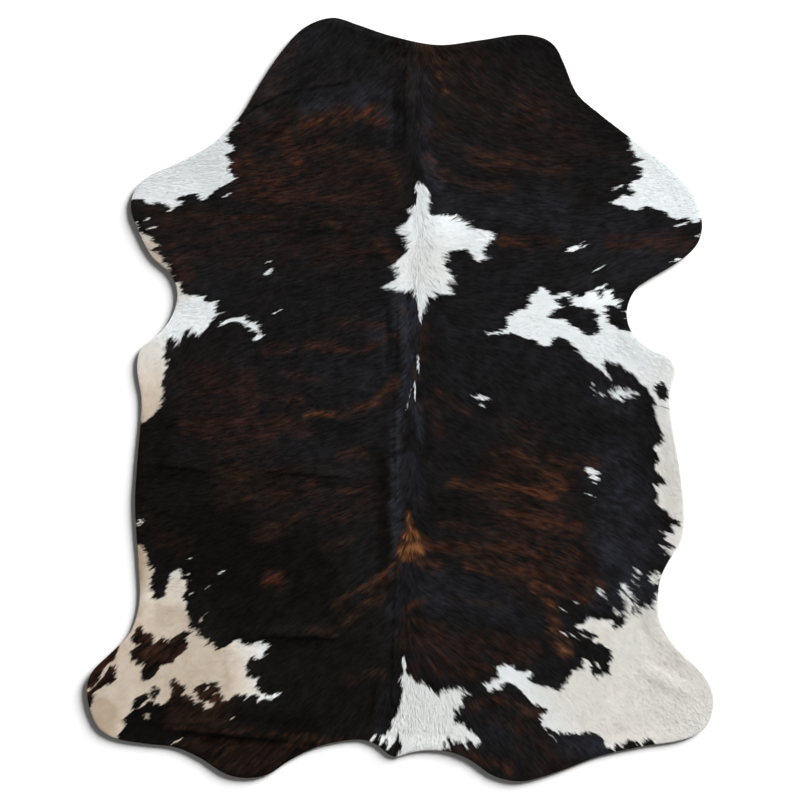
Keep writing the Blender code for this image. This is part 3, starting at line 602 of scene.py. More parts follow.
def packed_rim(node):
    """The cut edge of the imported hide's underside, as an ordered ring in millimetres."""
    solid = bmesh.new()
    solid.from_mesh(node.data)
    bmesh.ops.remove_doubles(solid, verts=solid.verts, dist=0.02 * MM)
    following = {}
    for edge in solid.edges:
        down = [face for face in edge.link_faces if face.normal.z < -0.7]
        wall = [face for face in edge.link_faces if abs(face.normal.z) < 0.5]
        if len(down) == 1 and len(wall) == 1:
            for loop in edge.link_loops:
                if loop.face == down[0]:
                    following[loop.vert.index] = loop.link_loop_next.vert.index
    first = next(iter(following))
    ring = [first]
    while following[ring[-1]] != first:
        ring.append(following[ring[-1]])
    solid.verts.ensure_lookup_table()
    points = np.array([solid.verts[index].co[:2] for index in ring]) / MM
    solid.free()
    return points


def smooth_ring(points, step):
    """A closed curve through the points, with a point at about every step along it."""
    before, after = np.roll(points, 1, axis=0), np.roll(points, -1, axis=0)
    ahead = np.roll(after, -1, axis=0)
    span = np.linalg.norm(after - points, axis=1)
    span_in, span_out = np.roll(span, 1), np.roll(span, -1)
    lean_in = (after - before) * (span / (span_in + span))[:, None]
    lean_out = (ahead - points) * (span / (span_out + span))[:, None]
    count = max(2, math.ceil(float(span.max()) / step))
    ring = []
    for index in range(len(points)):
        for share in np.arange(count) / count:
            square, cube = share ** 2, share ** 3
            ring.append(
                points[index] * (2 * cube - 3 * square + 1)
                + lean_in[index] * (cube - 2 * square + share)
                + after[index] * (3 * square - 2 * cube)
                + lean_out[index] * (cube - square)
            )
    return np.array(ring)


def inside_ring(x, y, ring):
    """Whether each point lies inside a closed ring of corners."""
    ring = np.asarray(ring, dtype=float)
    result = np.zeros(x.shape, dtype=bool)
    near = np.flatnonzero(
        (x >= ring[:, 0].min()) & (x <= ring[:, 0].max())
        & (y >= ring[:, 1].min()) & (y <= ring[:, 1].max())
    )
    px, py = x[near], y[near]
    odd = np.zeros(near.shape, dtype=bool)
    for (x0, y0), (x1, y1) in zip(ring, np.roll(ring, -1, axis=0)):
        if y0 != y1:
            odd ^= ((y0 > py) != (y1 > py)) & (px < x0 + (py - y0) * (x1 - x0) / (y1 - y0))
    result[near] = odd
    return result


def bilinear(grid, column, row):
    """Reads a grid between its points; past its border it keeps the border's value."""
    column = np.clip(column, 0, grid.shape[0] - 1.001)
    row = np.clip(row, 0, grid.shape[1] - 1.001)
    i, j = column.astype(int), row.astype(int)
    u, v = column - i, row - j
    low = grid[i, j] * (1 - u) + grid[i + 1, j] * u
    high = grid[i, j + 1] * (1 - u) + grid[i + 1, j + 1] * u
    return low * (1 - v) + high * v


class ReadGrid:
    """Values kept on a coarse grid over the hide and read between its points."""

    MARGIN = 60.0

    def __init__(self, rim, work_out, cell=8.0):
        self.cell = cell
        self.low = rim.min(axis=0) - self.MARGIN
        count = np.ceil((rim.max(axis=0) + self.MARGIN - self.low) / cell).astype(int) + 2
        xs = self.low[0] + np.arange(count[0]) * cell
        ys = self.low[1] + np.arange(count[1]) * cell
        x, y = (grid.ravel() for grid in np.meshgrid(xs, ys, indexing="ij"))
        self.layers = [layer.reshape(count) for layer in work_out(x, y)]

    def __call__(self, x, y):
        column, row = (x - self.low[0]) / self.cell, (y - self.low[1]) / self.cell
        return [bilinear(layer, column, row) for layer in self.layers]


def rim_distance(rim):
    """A function that gives the distance to the cut edge, positive inside."""
    def work_out(x, y):
        best = np.full(x.shape, np.inf)
        for start, end in zip(rim, np.roll(rim, -1, axis=0)):
            run = end - start
            share = ((x - start[0]) * run[0] + (y - start[1]) * run[1]) / (run @ run)
            share = np.clip(share, 0.0, 1.0)
            gap = (x - start[0] - share * run[0]) ** 2 + (y - start[1] - share * run[1]) ** 2
            np.minimum(best, gap, out=best)
        best = np.sqrt(best)
        return [np.where(inside_ring(x, y, rim), best, -best)]
    grid = ReadGrid(rim, work_out)
    return lambda x, y: grid(x, y)[0]


def swell(share):
    """A soft bump: 1 in the middle, falling to exactly 0 at 1."""
    return np.where(share < 1.0, 0.5 + 0.5 * np.cos(np.pi * np.minimum(share, 1.0)), 0.0)


def along_line(x, y, start, end):
    """Where points lie against a line: their share along it and their distance from it."""
    run_x, run_y = end[0] - start[0], end[1] - start[1]
    share = ((x - start[0]) * run_x + (y - start[1]) * run_y) / (run_x ** 2 + run_y ** 2)
    across = np.hypot(x - start[0] - share * run_x, y - start[1] - share * run_y)
    return share, across


def round_fade(share):
    """1 halfway along a line, falling in a half circle to 0 at its ends and past them."""
    return np.sqrt(np.clip(4.0 * share * (1.0 - share), 0.0, 1.0))


def floor_gap(x, y, distance):
    """How far the skin's underside stands off the floor."""
    gap = np.zeros(x.shape)
    for _name, start, end, height, half_width in CREASES:
        share, across = along_line(x, y, start, end)
        fade = np.where((share > 0) & (share < 1), swell(np.abs(2 * share - 1)) ** 0.5, 0.0)
        gap += height * swell(across / half_width) * fade
    lift = np.zeros(x.shape)
    for _name, centre, reach, rise in LIFTS:
        lift += rise * swell(np.hypot(x - centre[0], y - centre[1]) / reach)
    curl = RIM_CURL * swell(np.maximum(distance(x, y), 0.0) / CURL_REACH)
    return gap + lift + curl * np.clip(1.0 - lift / (CURL_YIELD * RIM_CURL), 0.0, 1.0)


# ---------------------------------------------------------------- the lay of the hair

def back_line(y):
    """Where the back's parting lies, across the hide."""
    rows = np.array(BACK_LINE[::-1], dtype=float)
    return np.interp(y, rows[:, 0], rows[:, 1])


def lay_of_hair(x, y):
    """The direction in which the hair lies, as unit steps across and along."""
    side = x - back_line(y)
    out = np.clip((np.abs(side) - NEAR_BACK) / (FAR_OUT - NEAR_BACK), 0.0, 1.0)
    along, *columns = np.array(HEADINGS[::-1], dtype=float).T
    far_left, near_left, near_right, far_right = (np.interp(y, along, column) for column in columns)
    left = np.radians(near_left * (1 - out) + far_left * out)
    right = np.radians(near_right * (1 - out) + far_right * out)
    over = np.clip(0.5 + side / (2.0 * BACK_BLEND), 0.0, 1.0)
    straight = np.exp(-((side / BACK_REACH) ** 2)) * BACK_PULL
    step_x = np.cos(left) * (1 - over) + np.cos(right) * over
    step_y = np.sin(left) * (1 - over) + np.sin(right) * over - straight
    for _name, centre, reach, turned in TURNS:
        far = np.hypot(x - centre[0], y - centre[1])
        weight = TURN_PULL * np.exp(-((far / reach) ** 2))
        step_x += weight * math.cos(math.radians(turned))
        step_y += weight * math.sin(math.radians(turned))
    for _name, centre, reach in SPREADS:
        run_x, run_y = x - centre[0], y - centre[1]
        far = np.hypot(run_x, run_y)
        weight = SPREAD_PULL * np.exp(-((far / reach) ** 2)) / (far + SPREAD_CORE)
        step_x += weight * run_x
        step_y += weight * run_y
    size = np.hypot(step_x, step_y) + 1e-9
    return step_x / size, step_y / size


# ---------------------------------------------------------------- the markings

def value_noise(x, y, grain, seed):
    """Smooth random values from 0 to 1, in lumps of the given grain."""
    tile = 512
    offset = 1000.0             # keeps the cells' numbers above 0 all over the hide
    table = np.random.default_rng(seed).random((tile, tile))
    u, v = x / grain + offset, y / grain + offset
    i, j = np.floor(u).astype(int), np.floor(v).astype(int)
    u, v = u - i, v - j
    u, v = u * u * (3 - 2 * u), v * v * (3 - 2 * v)
    i0, j0, i1, j1 = i % tile, j % tile, (i + 1) % tile, (j + 1) % tile
    low = table[i0, j0] * (1 - u) + table[i1, j0] * u
    high = table[i0, j1] * (1 - u) + table[i1, j1] * u
    return low * (1 - v) + high * v


def streaks(x, y, lay, length, grain, seed):
    """Noise drawn out along the hair, evened to a spread of about 0 to 1."""
    steps = 8
    total = value_noise(x, y, grain, seed)
    for sign in (1.0, -1.0):
        px, py = x.copy(), y.copy()
        for _step in range(steps):
            step_x, step_y = lay(px, py)
            px += sign * step_x * length / (2 * steps)
            py += sign * step_y * length / (2 * steps)
            total += value_noise(px, py, grain, seed)
    total = (total - total.mean()) / total.std()
    return np.clip(0.5 + total / 4.0, 0.0, 1.0)


def zone_peak(x, y, zones, edge):
    """The strongest of several soft-edged ellipses at each point."""
    peak = np.zeros(x.shape)
    for centre, half, strength in zones:
        reach = np.hypot((x - centre[0]) / half[0], (y - centre[1]) / half[1])
        level = np.clip(0.5 + (1.0 - reach) * min(half) / (2.0 * edge), 0.0, 1.0)
        peak = np.maximum(peak, strength * level)
    return peak


def stroke_level(x, y, start, end, half_width):
    """1 on the middle of a soft-edged, round-ended stroke, 0 well outside it."""
    share, _across = along_line(x, y, start, end)
    share = np.clip(share, 0.0, 1.0)
    off_x = x - start[0] - share * (end[0] - start[0])
    off_y = y - start[1] - share * (end[1] - start[1])
    edge = STROKE_EDGE_SHARE * half_width + STROKE_EDGE
    level = np.clip(0.5 + (half_width - np.hypot(off_x, off_y)) / (2.0 * edge), 0.0, 1.0)
    return level * level * (3.0 - 2.0 * level)


def charted_strokes(x, y):
    """The chart's soft strokes: brindle strength and redness, ground level with its painted sheen, and
    whorl.
    """
    wander_x, wander_y = (
        WANDER * (value_noise(x, y, WANDER_GRAIN, seed) - 0.5) for seed in (SEED + 11, SEED + 12)
    )
    x, y = x + wander_x, y + wander_y
    level = np.zeros(x.shape)
    weights = np.full(x.shape, 1e-4)    # so small that any stroke outweighs it
    reds = weights * BRINDLE_REDNESS
    for start, end, half_width, strength, redness in BRINDLE:
        zone = strength * stroke_level(x, y, start, end, half_width)
        level = np.maximum(level, zone)
        weights += zone ** 2
        reds += zone ** 2 * redness
    ground_with_sheen = np.full(x.shape, GROUND_AND_SHEEN_LEVEL)
    for start, end, half_width, shown in GROUND_AND_SHEEN:
        zone = stroke_level(x, y, start, end, half_width)
        ground_with_sheen = ground_with_sheen * (1.0 - zone) + shown * zone
    whorl = np.zeros(x.shape)
    for start, end, half_width in WHORL:
        whorl = np.maximum(whorl, stroke_level(x, y, start, end, half_width))
    return [level, reds / weights, ground_with_sheen, whorl]


def is_pale(x, y):
    """Whether the chart is pale at each point."""
    x, y = x - CHART_MIDDLE[0], y - CHART_MIDDLE[1]
    pale = np.zeros(x.shape, dtype=bool)
    for ring in PALE_PATCHES.values():
        pale |= inside_ring(x, y, ring)
    for ring in DARK_ISLANDS.values():
        pale &= ~inside_ring(x, y, ring)
    for start, end, width in PALE_STROKES:
        share, across = along_line(x, y, start, end)
        pale |= across < 0.5 * width * round_fade(share)
    return pale


def pale_blades(x, y, step_x, step_y, reach, ragged, rng):
    """1 for each blade that shows pale, as its marking is read at the part of it that shows."""
    seen = reach * (VISIBLE_SHARE + ragged)
    turn = rng.uniform(0.0, 2.0 * math.pi, x.shape)
    pale = np.ones(x.shape, dtype=bool)
    for third in (0.0, 2.0 * math.pi / 3.0, 4.0 * math.pi / 3.0):
        inset_x, inset_y = PALE_INSET * np.cos(turn + third), PALE_INSET * np.sin(turn + third)
        pale &= is_pale(x + step_x * seen + inset_x, y + step_y * seen + inset_y)
    return pale.astype(float)


def coat_values(x, y, lay, chart, reach, shag):
    """Everything that the finishes read, at points whose hair reaches so far along its lay."""
    rng = np.random.default_rng(SEED + 9)
    step_x, step_y = lay(x, y)
    streak = {name: streaks(x, y, lay, *drawn) for name, drawn in STREAKS.items()}
    ragged = (LOCK_RAGGEDNESS + SHAGGY_RAGGEDNESS * shag) * (streak["lock"] - 0.5)
    ragged += HAIR_RAGGEDNESS * rng.uniform(-1.0, 1.0, x.shape)
    values = {"pale": pale_blades(x, y, step_x, step_y, reach, ragged, rng)}
    x, y = x + step_x * reach * VISIBLE_SHARE, y + step_y * reach * VISIBLE_SHARE

    level, red, ground_with_sheen, whorl = chart(x, y)
    texture = sum(share * streak[name] for name, share in BRINDLE_STREAKS.items())
    warm = (BRINDLE_TRACE + level) * np.clip(STREAK_GAIN * texture - STREAK_LOSS, 0.0, STREAK_PEAK)
    warm = np.maximum(warm, whorl * (WHORL_STREAKS[0] + WHORL_STREAKS[1] * streak["fine"]))
    values["warm"] = np.clip(warm, 0.0, WARM_PEAK) / WARM_PEAK
    values["red"] = red * (1.0 - whorl)
    clouds = sum(0.5 * value_noise(x, y, grain, seed) for grain, seed in CLOUDS)
    # the ground's lighter levels are partly painted sheen
    for name, shown, (low, gain) in (
        ("cool", ground_with_sheen, GROUND_AND_SHEEN_CLOUDS),
        ("cream", zone_peak(x, y, CREAM, CREAM_EDGE), CREAM_CLOUDS),
    ):
        values[name] = np.clip(shown * (low + gain * clouds), 0.0, 1.0)

    parts = (streak["fine"], clouds, rng.uniform(0.0, 1.0, x.shape))
    shade = sum(share * part for share, part in zip(SHADE_SHARES, parts))
    # painted shade along the folds and partings darkens the shading here
    for _name, start, end, depth, half_width in PAINTED_SHADE_LINES:
        share, across = along_line(x, y, start, end)
        shade -= depth * round_fade(share) * np.exp(-((across / half_width) ** 2))
    values["shade"] = np.clip(shade, 0.0, 1.0)
    return values


# ---------------------------------------------------------------- materials

# The sockets of a Mix node that mixes colours.
SHARE, FIRST, SECOND, RESULT = 0, 6, 7, 2
ORGANIC_IOR = 1.45          # hair, hide and matt paint bend light about this much
BRINDLE_COVER = 0.6         # the warm level at which no dark ground shows through


def srgb(text):
    """A hex colour as linear red, green, blue and alpha."""
    parts = [int(text[index:index + 2], 16) / 255.0 for index in (1, 3, 5)]
    linear = [p / 12.92 if p <= 0.04045 else ((p + 0.055) / 1.055) ** 2.4 for p in parts]
    return (*linear, 1.0)


def add_node(tree, kind, inputs=None, ramp=None, **settings):
    """A node with its settings; an input is a value or another node's output."""
    node = tree.nodes.new(kind)
    for name, value in settings.items():
        setattr(node, name, value)
    for name, value in (inputs or {}).items():
        if isinstance(value, bpy.types.NodeSocket):
            tree.links.new(value, node.inputs[name])
        else:
            node.inputs[name].default_value = value
    if ramp:
        stops = node.color_ramp.elements
        while len(stops) < len(ramp):
            stops.new(1.0)
        for stop, (place, colour) in zip(stops, ramp):
            stop.position = place
            stop.color = srgb(colour)
    return node


def new_material(name, roughness, gloss):
    """An empty finish: the material, its tree and its surface, with constants on its sockets."""
    material = bpy.data.materials.new(name)
    material.use_nodes = True
    surface = material.node_tree.nodes["Principled BSDF"]
    surface.inputs["Roughness"].default_value = roughness
    surface.inputs["Specular IOR Level"].default_value = gloss
    surface.inputs["IOR"].default_value = ORGANIC_IOR
    return material, material.node_tree, surface


def lit_by(tree, colour, name, low, high):
    """A colour made darker or lighter, from low to high, by one of the coat's stored values."""
    value = add_node(tree, "ShaderNodeAttribute", attribute_name=name)
    light = add_node(tree, "ShaderNodeMapRange", {
        "Value": value.outputs["Fac"], "To Min": low, "To Max": high})
    lit = add_node(tree, "ShaderNodeMix", {
        SHARE: 1.0, FIRST: colour, SECOND: light.outputs["Result"],
    }, data_type="RGBA", blend_type="MULTIPLY")
    return lit.outputs[RESULT]


def fine_relief(tree, surface, grain, detail, depth, strength):
    """Fine bumps of one grain size on a surface; the noise that they rise with."""
    place = add_node(tree, "ShaderNodeTexCoord")
    noise = add_node(tree, "ShaderNodeTexNoise", {
        "Vector": place.outputs["Object"], "Scale": 1.0 / (grain * MM), "Detail": detail})
    relief = add_node(tree, "ShaderNodeBump", {
        "Height": noise.outputs["Fac"], "Distance": depth * MM, "Strength": strength})
    tree.links.new(relief.outputs["Normal"], surface.inputs["Normal"])
    return noise.outputs["Fac"]


def dark_coat_colour(tree):
    """Near-black hair, a lighter blue-black where sheen is painted into it, brindled with tan and
    russet.
    """
    warm, cool, red = (
        add_node(tree, "ShaderNodeAttribute", attribute_name=name).outputs["Fac"]
        for name in ("warm", "cool", "red")
    )
    # the lighter, bluer stops are partly painted sheen on the near-black hair
    ground_with_sheen = add_node(tree, "ShaderNodeValToRGB", {"Fac": cool}, ramp=(
        (0.0, "#0c0b0a"), (0.25, "#1b1a18"), (0.5, "#252527"), (0.75, "#2b2c31"), (1.0, "#363840")))
    tan = add_node(tree, "ShaderNodeValToRGB", {"Fac": warm}, ramp=(
        (0.0, "#4c372b"), (0.5, "#5e412f"), (0.75, "#7c5036"), (1.0, "#a46c42")))
    russet = add_node(tree, "ShaderNodeValToRGB", {"Fac": warm}, ramp=(
        (0.0, "#44302a"), (0.6, "#5a3022")))
    brindle = add_node(tree, "ShaderNodeMix", {
        SHARE: red, FIRST: tan.outputs["Color"], SECOND: russet.outputs["Color"],
    }, data_type="RGBA")
    share = add_node(tree, "ShaderNodeMapRange", {"Value": warm, "From Max": BRINDLE_COVER})
    colour = add_node(tree, "ShaderNodeMix", {
        SHARE: share.outputs["Result"], FIRST: ground_with_sheen.outputs["Color"],
        SECOND: brindle.outputs[RESULT],
    }, data_type="RGBA")
    return lit_by(tree, colour.outputs[RESULT], "shade", 0.2, 1.15)


def pale_coat_colour(tree):
    """White hair, turning cream and fawn towards the belly and the hind shanks."""
    cream = add_node(tree, "ShaderNodeAttribute", attribute_name="cream")
    colour = add_node(tree, "ShaderNodeValToRGB", {"Fac": cream.outputs["Fac"]}, ramp=(
        (0.0, "#f3f7f8"), (0.3, "#edeae3"), (0.65, "#dfd4c5"), (1.0, "#beaa94")))
    return lit_by(tree, colour.outputs["Color"], "shade", 0.94, 1.05)


def dark_hair():
    """Short pigmented cattle hair: smooth keratin with a low soft gloss on near-black, with painted
    shade at its root, where its neighbours cover it."""
    material, tree, surface = new_material("dark_cattle_hair", 0.58, 0.06)
    # painted shade at the blade's root
    colour = lit_by(tree, dark_coat_colour(tree), "along", 0.7, 1.0)
    tree.links.new(colour, surface.inputs["Base Color"])
    return material


def pale_hair():
    """Short unpigmented cattle hair: light scatters in it, so it is bright, with faint shade at
    its root."""
    material, tree, surface = new_material("pale_cattle_hair", 0.6, 0.3)
    colour = lit_by(tree, pale_coat_colour(tree), "along", 0.94, 1.0)
    tree.links.new(colour, surface.inputs["Base Color"])
    return material


def grain_side():
    """Tanned skin under the coat: it keeps the coat's pigment, dull and finely pored."""
    material, tree, surface = new_material("hair_on_leather_grain", 0.75, 0.1)
    pale = add_node(tree, "ShaderNodeAttribute", attribute_name="pale")
    colour = add_node(tree, "ShaderNodeMix", {
        SHARE: pale.outputs["Fac"], FIRST: dark_coat_colour(tree), SECOND: pale_coat_colour(tree),
    }, data_type="RGBA")
    darker = add_node(tree, "ShaderNodeMix", {
        SHARE: 1.0, FIRST: colour.outputs[RESULT], SECOND: srgb("#b8b2ae"),
    }, data_type="RGBA", blend_type="MULTIPLY")
    tree.links.new(darker.outputs[RESULT], surface.inputs["Base Color"])
    fine_relief(tree, surface, grain=3.0, detail=3.0, depth=0.4, strength=0.5)
    return material


def flesh_side():
    """Buffed underside of a chrome-tanned hide: matt suede, grey-buff, with a short loose nap."""
    material, tree, surface = new_material("suede_flesh_side", 0.95, 0.15)
    surface.inputs["Sheen Weight"].default_value = 0.2
    place = add_node(tree, "ShaderNodeTexCoord")
    clouds = add_node(tree, "ShaderNodeTexNoise", {
        "Vector": place.outputs["Object"], "Scale": 1.0 / (90.0 * MM), "Detail": 5.0})
    tone = add_node(tree, "ShaderNodeValToRGB", {"Fac": clouds.outputs["Fac"]}, ramp=(
        (0.3, "#a8977f"), (0.5, "#bcab93"), (0.7, "#cbbca6")))
    tree.links.new(tone.outputs["Color"], surface.inputs["Base Color"])
    fine_relief(tree, surface, grain=2.5, detail=4.0, depth=0.5, strength=0.6)
    return material


def cut_edge():
    """The knife-cut edge of the hide: pale fibrous leather, slightly open."""
    material, tree, surface = new_material("cut_leather_edge", 0.85, 0.2)
    fibres = fine_relief(tree, surface, grain=1.5, detail=4.0, depth=0.3, strength=0.5)
    tone = add_node(tree, "ShaderNodeValToRGB", {"Fac": fibres}, ramp=(
        (0.3, "#6f5f50"), (0.6, "#94826d")))
    tree.links.new(tone.outputs["Color"], surface.inputs["Base Color"])
    return material


def painted_floor():
    """Matt white studio floor, very slightly uneven in its tone."""
    material, tree, surface = new_material("matt_white_floor", 0.8, 0.1)
    place = add_node(tree, "ShaderNodeTexCoord")
    mottle = add_node(tree, "ShaderNodeTexNoise", {
        "Vector": place.outputs["Object"], "Scale": 1.0 / (500.0 * MM), "Detail": 3.0})
    tone = add_node(tree, "ShaderNodeValToRGB", {"Fac": mottle.outputs["Fac"]}, ramp=(
        (0.3, "#f6f6f6"), (0.7, "#f9f9f9")))
    tree.links.new(tone.outputs["Color"], surface.inputs["Base Color"])
    return material


# ---------------------------------------------------------------- the skin

def new_object(name, data):
    """An object in the scene, at the origin."""
    obj = bpy.data.objects.new(name, data)
    bpy.context.scene.collection.objects.link(obj)
    return obj


def store(mesh, name, values, kind="FLOAT"):
    """Puts one value for each point on the mesh, for finishes and modifiers to read."""
    attribute = mesh.attributes.new(name, kind, "POINT")
    field = "vector" if kind == "FLOAT_VECTOR" else "value"
    attribute.data.foreach_set(field, np.ascontiguousarray(values, dtype=np.float32).ravel())


def staggered_grid(rim, pitch):
    """Points of a triangular grid over the box around the cut edge."""
    low, high = rim.min(axis=0), rim.max(axis=0)
    rise = pitch * math.sqrt(3.0) / 2.0
    rows = np.arange(math.floor(low[1] / rise), math.ceil(high[1] / rise) + 1)
    columns = np.arange(math.floor(low[0] / pitch) - 1, math.ceil(high[0] / pitch) + 1)
    column, row = np.meshgrid(columns, rows)
    return ((column + 0.5 * (row % 2)) * pitch).ravel(), (row * rise).ravel()


def triangulated(rim, distance):
    """The hide laid flat: its points, its triangles that turn left, and its border's edges."""
    x, y = staggered_grid(rim, SKIN_GRID)
    keep = distance(x, y) > SKIN_MARGIN
    points = np.concatenate([rim, np.stack([x[keep], y[keep]], axis=1)])
    edges = [(index, (index + 1) % len(rim)) for index in range(len(rim))]
    points = [tuple(point) for point in points]
    inside_only, merge = 1, 0.01
    corners, _edges, faces, *_rest = delaunay_2d_cdt(points, edges, [], inside_only, merge)
    flat = np.array([tuple(corner) for corner in corners])
    faces = np.array([tuple(face) for face in faces])
    a, b, c = (flat[faces[:, index]] for index in range(3))
    turned = np.cross(b - a, c - a) < 0
    faces[turned] = faces[turned][:, ::-1]

    sides = np.concatenate([faces[:, [0, 1]], faces[:, [1, 2]], faces[:, [2, 0]]])
    _unique, place, times = np.unique(
        np.sort(sides, axis=1), axis=0, return_index=True, return_counts=True)
    return flat, faces, sides[place[times == 1]]


def build_skin(rim, distance, lay, chart):
    """The tanned hide as one closed thin sheet: flesh side, grain side and cut edge."""
    flat, faces, border = triangulated(rim, distance)
    count = len(flat)
    gap = floor_gap(flat[:, 0], flat[:, 1], distance)
    below = np.column_stack([flat, gap]) * MM
    above = np.column_stack([flat, gap + LEATHER]) * MM
    wall = np.column_stack([border[:, 0], border[:, 1], border[:, 1] + count, border[:, 0] + count])

    mesh = bpy.data.meshes.new("hide_skin")
    polygons = faces[:, ::-1].tolist() + (faces + count).tolist() + wall.tolist()
    mesh.from_pydata(np.concatenate([below, above]).tolist(), [], polygons)
    for material in (flesh_side(), grain_side(), cut_edge()):
        mesh.materials.append(material)
    slots = np.repeat([0, 1, 2], [len(faces), len(faces), len(wall)])
    mesh.polygons.foreach_set("material_index", slots.astype(np.int32))
    mesh.shade_smooth()
    mesh.set_sharp_from_angle(angle=math.radians(SHARP_ANGLE))
    bare = np.zeros(count)
    for name, values in coat_values(flat[:, 0], flat[:, 1], lay, chart, bare, bare).items():
        store(mesh, name, np.concatenate([values, values]))
    return new_object("hide_skin", mesh)


# ---------------------------------------------------------------- the coat

# A blade's corners in its own cell of the piece's map: (across, along).
CELL_CORNERS = ((0.1, 0.1), (0.9, 0.1), (0.5, 0.9))


def blade_template():
    """One blade of unit size: a thin taper from its root to its tip along +X."""
    mesh = bpy.data.meshes.new("blade")
    mesh.from_pydata([(0.0, -0.5, 0.0), (0.0, 0.5, 0.0), (1.0, 0.0, 0.0)], [], [(0, 2, 1)])
    store(mesh, "along", (0.0, 0.0, 1.0))
    return bpy.data.objects.new("blade", mesh)


def hair_tree():
    """Node tree that sets a blade on each root, turned, sized and finished by its stored values."""
    tree = bpy.data.node_groups.new("laid_hair", "GeometryNodeTree")
    for name, way, kind in (
        ("Geometry", "INPUT", "Geometry"), ("Hair length", "INPUT", "Float"),
        ("Hair width", "INPUT", "Float"), ("Blade", "INPUT", "Object"),
        ("Dark hair", "INPUT", "Material"), ("Pale hair", "INPUT", "Material"),
        ("Geometry", "OUTPUT", "Geometry"),
    ):
        tree.interface.new_socket(name, in_out=way, socket_type=f"NodeSocket{kind}")
    given = add_node(tree, "NodeGroupInput").outputs
    stored = {}
    for name, kind in (
        ("length", "FLOAT"), ("width", "FLOAT"), ("turn", "FLOAT_VECTOR"), ("pale", "FLOAT"),
    ):
        reader = add_node(tree, "GeometryNodeInputNamedAttribute", {"Name": name}, data_type=kind)
        stored[name] = reader.outputs["Attribute"]

    length, width = (
        add_node(tree, "ShaderNodeMath", {0: given[size], 1: stored[share]}, operation="MULTIPLY")
        for size, share in (("Hair length", "length"), ("Hair width", "width"))
    )
    scale = add_node(tree, "ShaderNodeCombineXYZ", {
        "X": length.outputs[0], "Y": width.outputs[0], "Z": given["Hair length"]})
    turn = add_node(tree, "FunctionNodeEulerToRotation", {"Euler": stored["turn"]})
    blade = add_node(tree, "GeometryNodeObjectInfo", {"Object": given["Blade"]})
    placed = add_node(tree, "GeometryNodeInstanceOnPoints", {
        "Points": given["Geometry"], "Instance": blade.outputs["Geometry"],
        "Rotation": turn.outputs[0], "Scale": scale.outputs[0]})
    solid = add_node(tree, "GeometryNodeRealizeInstances", {"Geometry": placed.outputs[0]})
    dark = add_node(tree, "GeometryNodeSetMaterial", {
        "Geometry": solid.outputs[0], "Material": given["Dark hair"]})
    is_pale_blade = add_node(
        tree, "FunctionNodeCompare", {"A": stored["pale"], "B": 0.5}, operation="GREATER_THAN")
    finished = add_node(tree, "GeometryNodeSetMaterial", {
        "Geometry": dark.outputs[0], "Selection": is_pale_blade.outputs[0],
        "Material": given["Pale hair"]})
    add_node(tree, "NodeGroupOutput", {"Geometry": finished.outputs[0]})
    return tree


def skin_slope(x, y, distance):
    """How steeply the skin rises across and along."""
    probe = 2.0
    rise_x = floor_gap(x + probe, y, distance) - floor_gap(x - probe, y, distance)
    rise_y = floor_gap(x, y + probe, distance) - floor_gap(x, y - probe, distance)
    return rise_x / (2 * probe), rise_y / (2 * probe)


def hair_roots(rim, distance, lay, chart):
    """Roots over the hide with everything that a blade needs, in millimetres and radians."""
    rng = np.random.default_rng(SEED)
    x, y = staggered_grid(rim, ROOT_SPACING)
    x = x + rng.uniform(-ROOT_SCATTER, ROOT_SCATTER, x.shape) * ROOT_SPACING
    y = y + rng.uniform(-ROOT_SCATTER, ROOT_SCATTER, y.shape) * ROOT_SPACING
    keep = distance(x, y) > ROOT_INSET
    x, y = x[keep], y[keep]

    shag = zone_peak(x, y, SHAGGY, SHAGGY_EDGE)
    length = (1.0 + shag) * rng.uniform(*SIZE_RANGE, x.shape)
    step_x, step_y = lay(x, y)
    swirl = sum(value_noise(x, y, grain, seed) - 0.5 for grain, seed in SWIRLS)
    yaw = np.arctan2(step_y, step_x) + np.radians(SWIRL_TURN + SHAGGY_SWIRL * shag) * swirl
    yaw += rng.normal(0.0, 1.0, x.shape) * np.radians(LOOSE_TURN + SHAGGY_TURN * shag)
    for _round in range(TRIM_ROUNDS):
        reach = HAIR_LENGTH * length
        outside = distance(x + np.cos(yaw) * reach, y + np.sin(yaw) * reach) < -RIM_OVERHANG
        length = np.where(outside, length * TRIM_SHARE, length)
    values = coat_values(x, y, lay, chart, HAIR_LENGTH * length, shag)

    slope_x, slope_y = skin_slope(x, y, distance)
    uphill = slope_x * np.cos(yaw) + slope_y * np.sin(yaw)
    aside = slope_y * np.cos(yaw) - slope_x * np.sin(yaw)
    pitch = rng.normal(0.0, 1.0, x.shape) * np.radians(PITCH_SPREAD + shag)
    pitch += np.radians(HAIR_PITCH)
    roll = rng.normal(0.0, 1.0, x.shape) * np.radians(ROLL_SPREAD)
    values["turn"] = np.stack([roll + aside, -(pitch + uphill), yaw], axis=1)
    values["length"] = length
    values["width"] = rng.uniform(*SIZE_RANGE, x.shape) * (1.0 + SHAGGY_WIDTH * shag)
    places = np.column_stack([x, y, floor_gap(x, y, distance) + LEATHER - ROOT_DEPTH])
    skin_normals = np.column_stack([
        -SLOPE_SHADING * slope_x, -SLOPE_SHADING * slope_y, np.ones(x.shape)])
    return places, values, skin_normals


def band_orders(places):
    """Splits the roots into bands across the hide, each in rows that run from left to right."""
    by_height = np.argsort(places[:, 1])
    for band in np.array_split(by_height, BANDS):
        side = math.ceil(math.sqrt(len(band)))
        rows = [band[start:start + side] for start in range(0, len(band), side)]
        yield np.concatenate([row[np.argsort(places[row, 0])] for row in rows]), side


